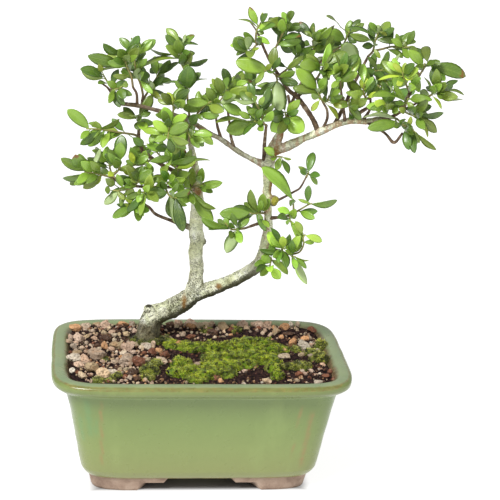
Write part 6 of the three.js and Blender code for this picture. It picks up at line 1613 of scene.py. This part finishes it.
def spread_roots(leaves, path):
    """Moves the leaves' roots apart along the stem, and stores their places."""
    whole = path_lengths(path)[-1]
    leaves.sort(key=lambda leaf: leaf["distance"])
    for i, leaf in enumerate(leaves):
        leaf["distance"] = max(leaf["distance"], leaves[i - 1]["distance"] + ROOT_PITCH if i else FIRST_ROOT)
    most = whole - ROOT_PITCH / 2
    for i in range(len(leaves) - 1, -1, -1):
        leaf = leaves[i]
        leaf["distance"] = max(min(leaf["distance"], most), FIRST_ROOT + i * ROOT_PITCH)
        most = min(most, leaf["distance"]) - ROOT_PITCH
    for leaf in leaves:
        leaf["root"], leaf["along"] = path_point(path, leaf["distance"])


def drawn_leaf(random, group, reach, order=0):
    """A leaf by rule, on a stem of length reach."""
    distance, long, start, lean, roll = random(), random(), random(), random(), random()
    return {"group": group, "order": order, "distance": (0.3 + 0.65 * distance) * reach, "named": None,
            "long": 11 + 8 * long, "wide": 0.42 * (11 + 8 * long), "roll": 80 * (roll - 0.5),
            "start": 2 * math.pi * start, "lean": 0.35 + 0.5 * lean, "tone": "mmdmbdo"[int(7 * long)]}


def wanted_leaves(spray, group):
    """The spray's named leaves, then those by rule."""
    _, stems, rows, count = spray
    random = random_from(LEAF_SEED + 17 * group)
    wanted = [[] for _ in stems]
    reach = [path_lengths(stem)[-1] for stem in stems]
    for order, (at, x, y, z, long, wide, roll, tone) in enumerate(rows):
        stem = min(len(stems) - 1, int(at))
        wanted[stem].append({"group": group, "order": order, "distance": (at - stem) * reach[stem],
                             "named": np.array([x, y, z], float), "long": long, "wide": wide,
                             "roll": roll, "tone": tone})
    for i in range(count):
        stem = i % len(stems)
        wanted[stem].append(drawn_leaf(random, group, reach[stem], len(rows) + i))
    for leaves, stem in zip(wanted, stems):
        spread_roots(leaves, stem)
    return sorted([leaf for leaves in wanted for leaf in leaves], key=lambda leaf: leaf["order"])


def tip_choices(leaf, turns):
    """Places for the leaf's tip: along the line of sight if it is named, else round the stem."""
    if leaf["named"] is not None:
        return [leaf["named"] + SIGHT * slide for slide in SLIDES]
    aside = unit(np.cross([0.2, 0.5, 0.84], leaf["along"]))
    tips = []
    for turn in range(turns):
        out = turned(aside, leaf["along"], leaf["start"] + turn * TURN) + leaf["lean"] * leaf["along"]
        tips.append(leaf["root"] + unit(out + (0, 0, 0.25)) * (leaf["long"] + 2))
    return tips


def place_leaves():
    """The part's own leaves, then the scene's further ones, each at its first clear place."""
    wood = [s for path in LIMBS for s in segments_of(path, -1)]
    twigs = [s for group, spray in enumerate(SPRAYS) for stem in spray[1]
             for s in segments_of(stem, group, TWIG_RADIUS)]
    field = LeafField(wood + twigs)
    wanted = [leaf for group, spray in enumerate(SPRAYS) for leaf in wanted_leaves(spray, group)]
    placed = [[] for _ in SPRAYS]

    def try_leaf(leaf, shrink=1.0, turns=TURNS):
        for tip in tip_choices(leaf, turns):
            long = min(leaf["long"], np.linalg.norm(tip - leaf["root"]) - 0.5)
            trial = dict(leaf, tip=tip, long=long)
            points, near = leaf_samples(trial)
            if abs(tip[1]) < CROWN_DEPTH and field.clear(points, near, leaf["group"], shrink):
                field.add(points, near, leaf["group"])
                placed[leaf["group"]].append(trial)
                return True
        return False

    named = [leaf for leaf in wanted if leaf["named"] is not None]
    lost = [leaf for leaf in named if not try_leaf(leaf)]
    for leaf in wanted:
        if leaf["named"] is None:
            try_leaf(leaf)
    for leaf in lost:
        try_leaf(leaf, LAST_CLEARANCE)
    random = random_from(EXTRA_SEED)
    for _ in range(EXTRA_ROUNDS):
        for group, (_, stems, rows, count) in enumerate(SPRAYS):
            stem = stems[int(random() * len(stems))]
            leaf = drawn_leaf(random, group, path_lengths(stem)[-1])
            leaf["root"], leaf["along"] = path_point(stem, leaf["distance"])
            leaf["long"] *= EXTRA_LONG
            leaf["wide"] *= EXTRA_WIDE
            if random() < EXTRA_SHARE and len(placed[group]) < EXTRA_MOST * (len(rows) + count):
                try_leaf(leaf, EXTRA_CLEARANCE, EXTRA_TURNS)
    return placed


def add_leaf(shape, leaf, draw, lighter):
    """A thin blade on its stalk: folded a little along the rib, arched, with a finely toothed edge."""
    root, tip = leaf["root"], leaf["tip"]
    along, face, across = leaf_axes(root, tip, leaf["roll"])
    start = max(0.0, np.linalg.norm(tip - root) - leaf["long"])
    long, wide = leaf["long"], leaf["wide"]
    fold = 0.16 + 0.2 * draw()
    curl = (draw() - 0.35) * 0.16
    twist = (draw() - 0.5) * 0.5
    bend = (draw() - 0.5) * 0.14
    # lighter is painted light, for the leaves of sprays that lie in shade
    shade = (0.78 + 0.42 * draw()) * lighter
    warm = 0.06 * (draw() - 0.5)
    width_power = 0.8 + 0.35 * draw()
    brown = 1.0 if draw() < BROWN_TIPS or leaf["tone"] == "t" else 0.0
    stations = [(-1.0, 0)] if start > 0.6 else []
    stations += [(i / (BLADE_STEPS - 1), i) for i in range(BLADE_STEPS)]
    tone = TONES[leaf["tone"]]
    upper = srgb(tone[0] * shade * (1 + warm), tone[1] * shade, tone[2] * shade * (1 - warm))
    lower = srgb(*(min(255, v * (0.9 + 0.1 * shade)) for v in UNDERSIDE))
    points, colours, alongs, acrosses, unders = [], [], [], [], []
    for place, order in stations:
        t = max(0.0, place)
        distance = 0.0 if place < 0 else start + t * long
        spread = float(np.interp(t, BLADE_PLACES, BLADE_WIDTHS)) ** width_power
        half = 0.3 if place < 0 else 0.5 * wide * spread
        half = max(half, 0.28)
        if 0.15 < t < 0.95 and order % 2:
            half *= 0.98
        thick = 0.3 - 0.18 * min(1, t * 5)
        lift = LEAF_ARCH * long * math.sin(math.pi * t) - curl * long * t ** 3
        turn = twist * t
        wide_way = math.cos(turn) * across + math.sin(turn) * face
        up_way = math.cos(turn) * face - math.sin(turn) * across
        middle = root + along * distance + face * lift + across * bend * long * math.sin(math.pi * t) * 0.5
        flat = min(1, t * 6)
        for side in (1, -1):
            for column in COLUMNS:
                if side < 0 and abs(column) == 1:
                    continue
                rise = fold * half * abs(column) ** 1.3 * flat + side * thick * (1 - 0.75 * abs(column))
                wave = 0.05 * half * math.sin(9 * t + 3 * column) * abs(column)
                points.append(middle + wide_way * half * column + up_way * (rise + wave))
                colours.append(upper if side > 0 else lower)
                alongs.append(t)
                acrosses.append(column)
                unders.append(0 if side > 0 else 1)
    count = len(stations)
    row = 2 * len(COLUMNS) - 2
    faces = []
    top = list(range(len(COLUMNS)))
    under = [0] + list(range(len(COLUMNS), row)) + [len(COLUMNS) - 1]
    for i in range(count - 1):
        for k in range(len(COLUMNS) - 1):
            a, b = i * row + top[k], i * row + top[k + 1]
            faces.append((a, a + row, b + row, b))
            a, b = i * row + under[k], i * row + under[k + 1]
            faces.append((a, b, b + row, a + row))
    for base, way in ((0, 1), ((count - 1) * row, -1)):
        faces.append(tuple(base + i for i in top + under[-2:0:-1])[::way])
    shape.add(points, faces, 0, colours, leaf_along=alongs, leaf_across=acrosses, leaf_under=unders,
              leaf_brown=brown)


def spray_pieces(leaf_look, stem_look):
    """Each spray's stems, brown at the foot and green at the tip, with its leaves."""
    placed = place_leaves()
    low, high = np.array(srgb(120, 104, 78)), np.array(srgb(150, 158, 84))
    sides = 7
    for group, (name, stems, _, _) in enumerate(SPRAYS):
        draw = random_from(BLADE_SEED + group)
        shape = Shape()
        for stem in stems:
            lengths = path_lengths(stem)
            path = [list(p) + [TWIG_RADIUS + (TWIG_TIP_RADIUS - TWIG_RADIUS) * d / lengths[-1]]
                    for p, d in zip(stem, lengths)]
            fine = smooth_path(path, 1.5)
            share = np.concatenate([np.repeat(np.linspace(0, 1, len(fine)), sides), [0, 1]])
            shape.add(*tube(fine, sides), 1, [tuple(low + (high - low) * s) for s in share])
        for leaf in placed[group]:
            add_leaf(shape, leaf, draw, PAINTED_LIGHT_GAIN if name in PAINTED_LIGHT_SPRAYS else 1.0)
        shape.piece("foliage_" + name, [leaf_look, stem_look], "leaf", ["spray_" + name])


# Stage
def light(name, place, aim, size, power):
    """A round lamp that shines at a point."""
    data = bpy.data.lights.new(name, "AREA")
    data.shape = "DISK"
    data.size = size
    data.energy = power
    lamp = linked(name, data)
    lamp.location = place
    lamp.rotation_mode = "QUATERNION"
    lamp.rotation_quaternion = (Vector(aim) - Vector(place)).to_track_quat("-Z", "Y")


def stage():
    """A pale floor that glows a little more far from the pot, with a painted shadow under the pot where it
    does not glow, soft daylight and two lamps.
    """
    s = Shader("floor")
    spread = s.node("VectorMath", {0: s.place}, operation="LENGTH")["Value"]
    grain = s.ramp(s.noise(3, 2), (0.3, (0.30, 0.30, 0.30, 1)), (0.7, (0.32, 0.32, 0.32, 1)))
    s.put(s.surface.inputs["Emission Color"], (1, 1, 1, 1))
    glow = s.node("MapRange", {0: spread, 1: FLOOR_NEAR, 2: FLOOR_FAR, 3: FLOOR_GLOW_NEAR,
                               4: FLOOR_GLOW_FAR})[0]
    x, y, _ = s.axes()
    # Painted shadow: the floor's glow is taken away in an oblong under the pot
    from_pot = s.math("SUBTRACT", x, POT_MIDDLE_X / 1000)
    beside = s.math("DIVIDE", s.math("ABSOLUTE", from_pot), POT_SHADOW_HALF_X)
    before = s.math("DIVIDE", s.math("ABSOLUTE", y), POT_SHADOW_HALF_Y)
    shade = s.between(s.math("MAXIMUM", beside, before), 0.9, 1.06)
    s.put(s.surface.inputs["Emission Strength"], s.times(glow, shade))
    paper = s.finish(grain, 0.9)
    mesh = bpy.data.meshes.new("floor")
    mesh.from_pydata([(-6, -6, 0), (6, -6, 0), (6, 6, 0), (-6, 6, 0)], [], [(0, 1, 2, 3)])
    mesh.materials.append(paper)
    floor = linked("floor", mesh)
    world = bpy.data.worlds.new("studio")
    world.use_nodes = True
    sky = world.node_tree.nodes["Background"]
    sky.inputs["Color"].default_value = (1, 1, 1, 1)
    sky.inputs["Strength"].default_value = WORLD_STRENGTH
    bpy.context.scene.world = world
    light("key", (-0.9, -1.1, 1.5), (0, 0, 0.18), 0.6, KEY_POWER)
    light("fill", (1.2, -0.9, 0.8), (0, 0, 0.15), 1.0, FILL_POWER)


def camera():
    """The camera fitted to the photograph."""
    right, up, back = Vector(CAMERA_RIGHT), Vector(CAMERA_UP), -Vector(CAMERA_AHEAD)
    data = bpy.data.cameras.new("camera")
    data.lens = CAMERA_LENS
    data.sensor_width = 36
    data.clip_start, data.clip_end = 0.05, 50
    lens = linked("camera", data)
    x, y, z = CAMERA_PLACE
    place = Vector((x + POT_MIDDLE_X, y, z)) / 1000
    lens.matrix_world = Matrix.Translation(place) @ Matrix((right, up, back)).transposed().to_4x4()
    bpy.context.scene.camera = lens


camera()
stage()
bpy.context.scene.view_settings.view_transform = "Standard"
pot_pieces(glaze_material(), clay_material())
gravel_look = stone_material()
soil_pieces(soil_material())
stone_pieces(gravel_look)
moss_pieces(moss_material())
wood_pieces(bark_material())
spray_pieces(leaf_material(), stem_material())
mesh_look = screen_material()
for node in ("drain_screen_left", "drain_screen_right"):
    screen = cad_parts[node]
    screen.data.materials.clear()
    screen.data.materials.append(mesh_look)
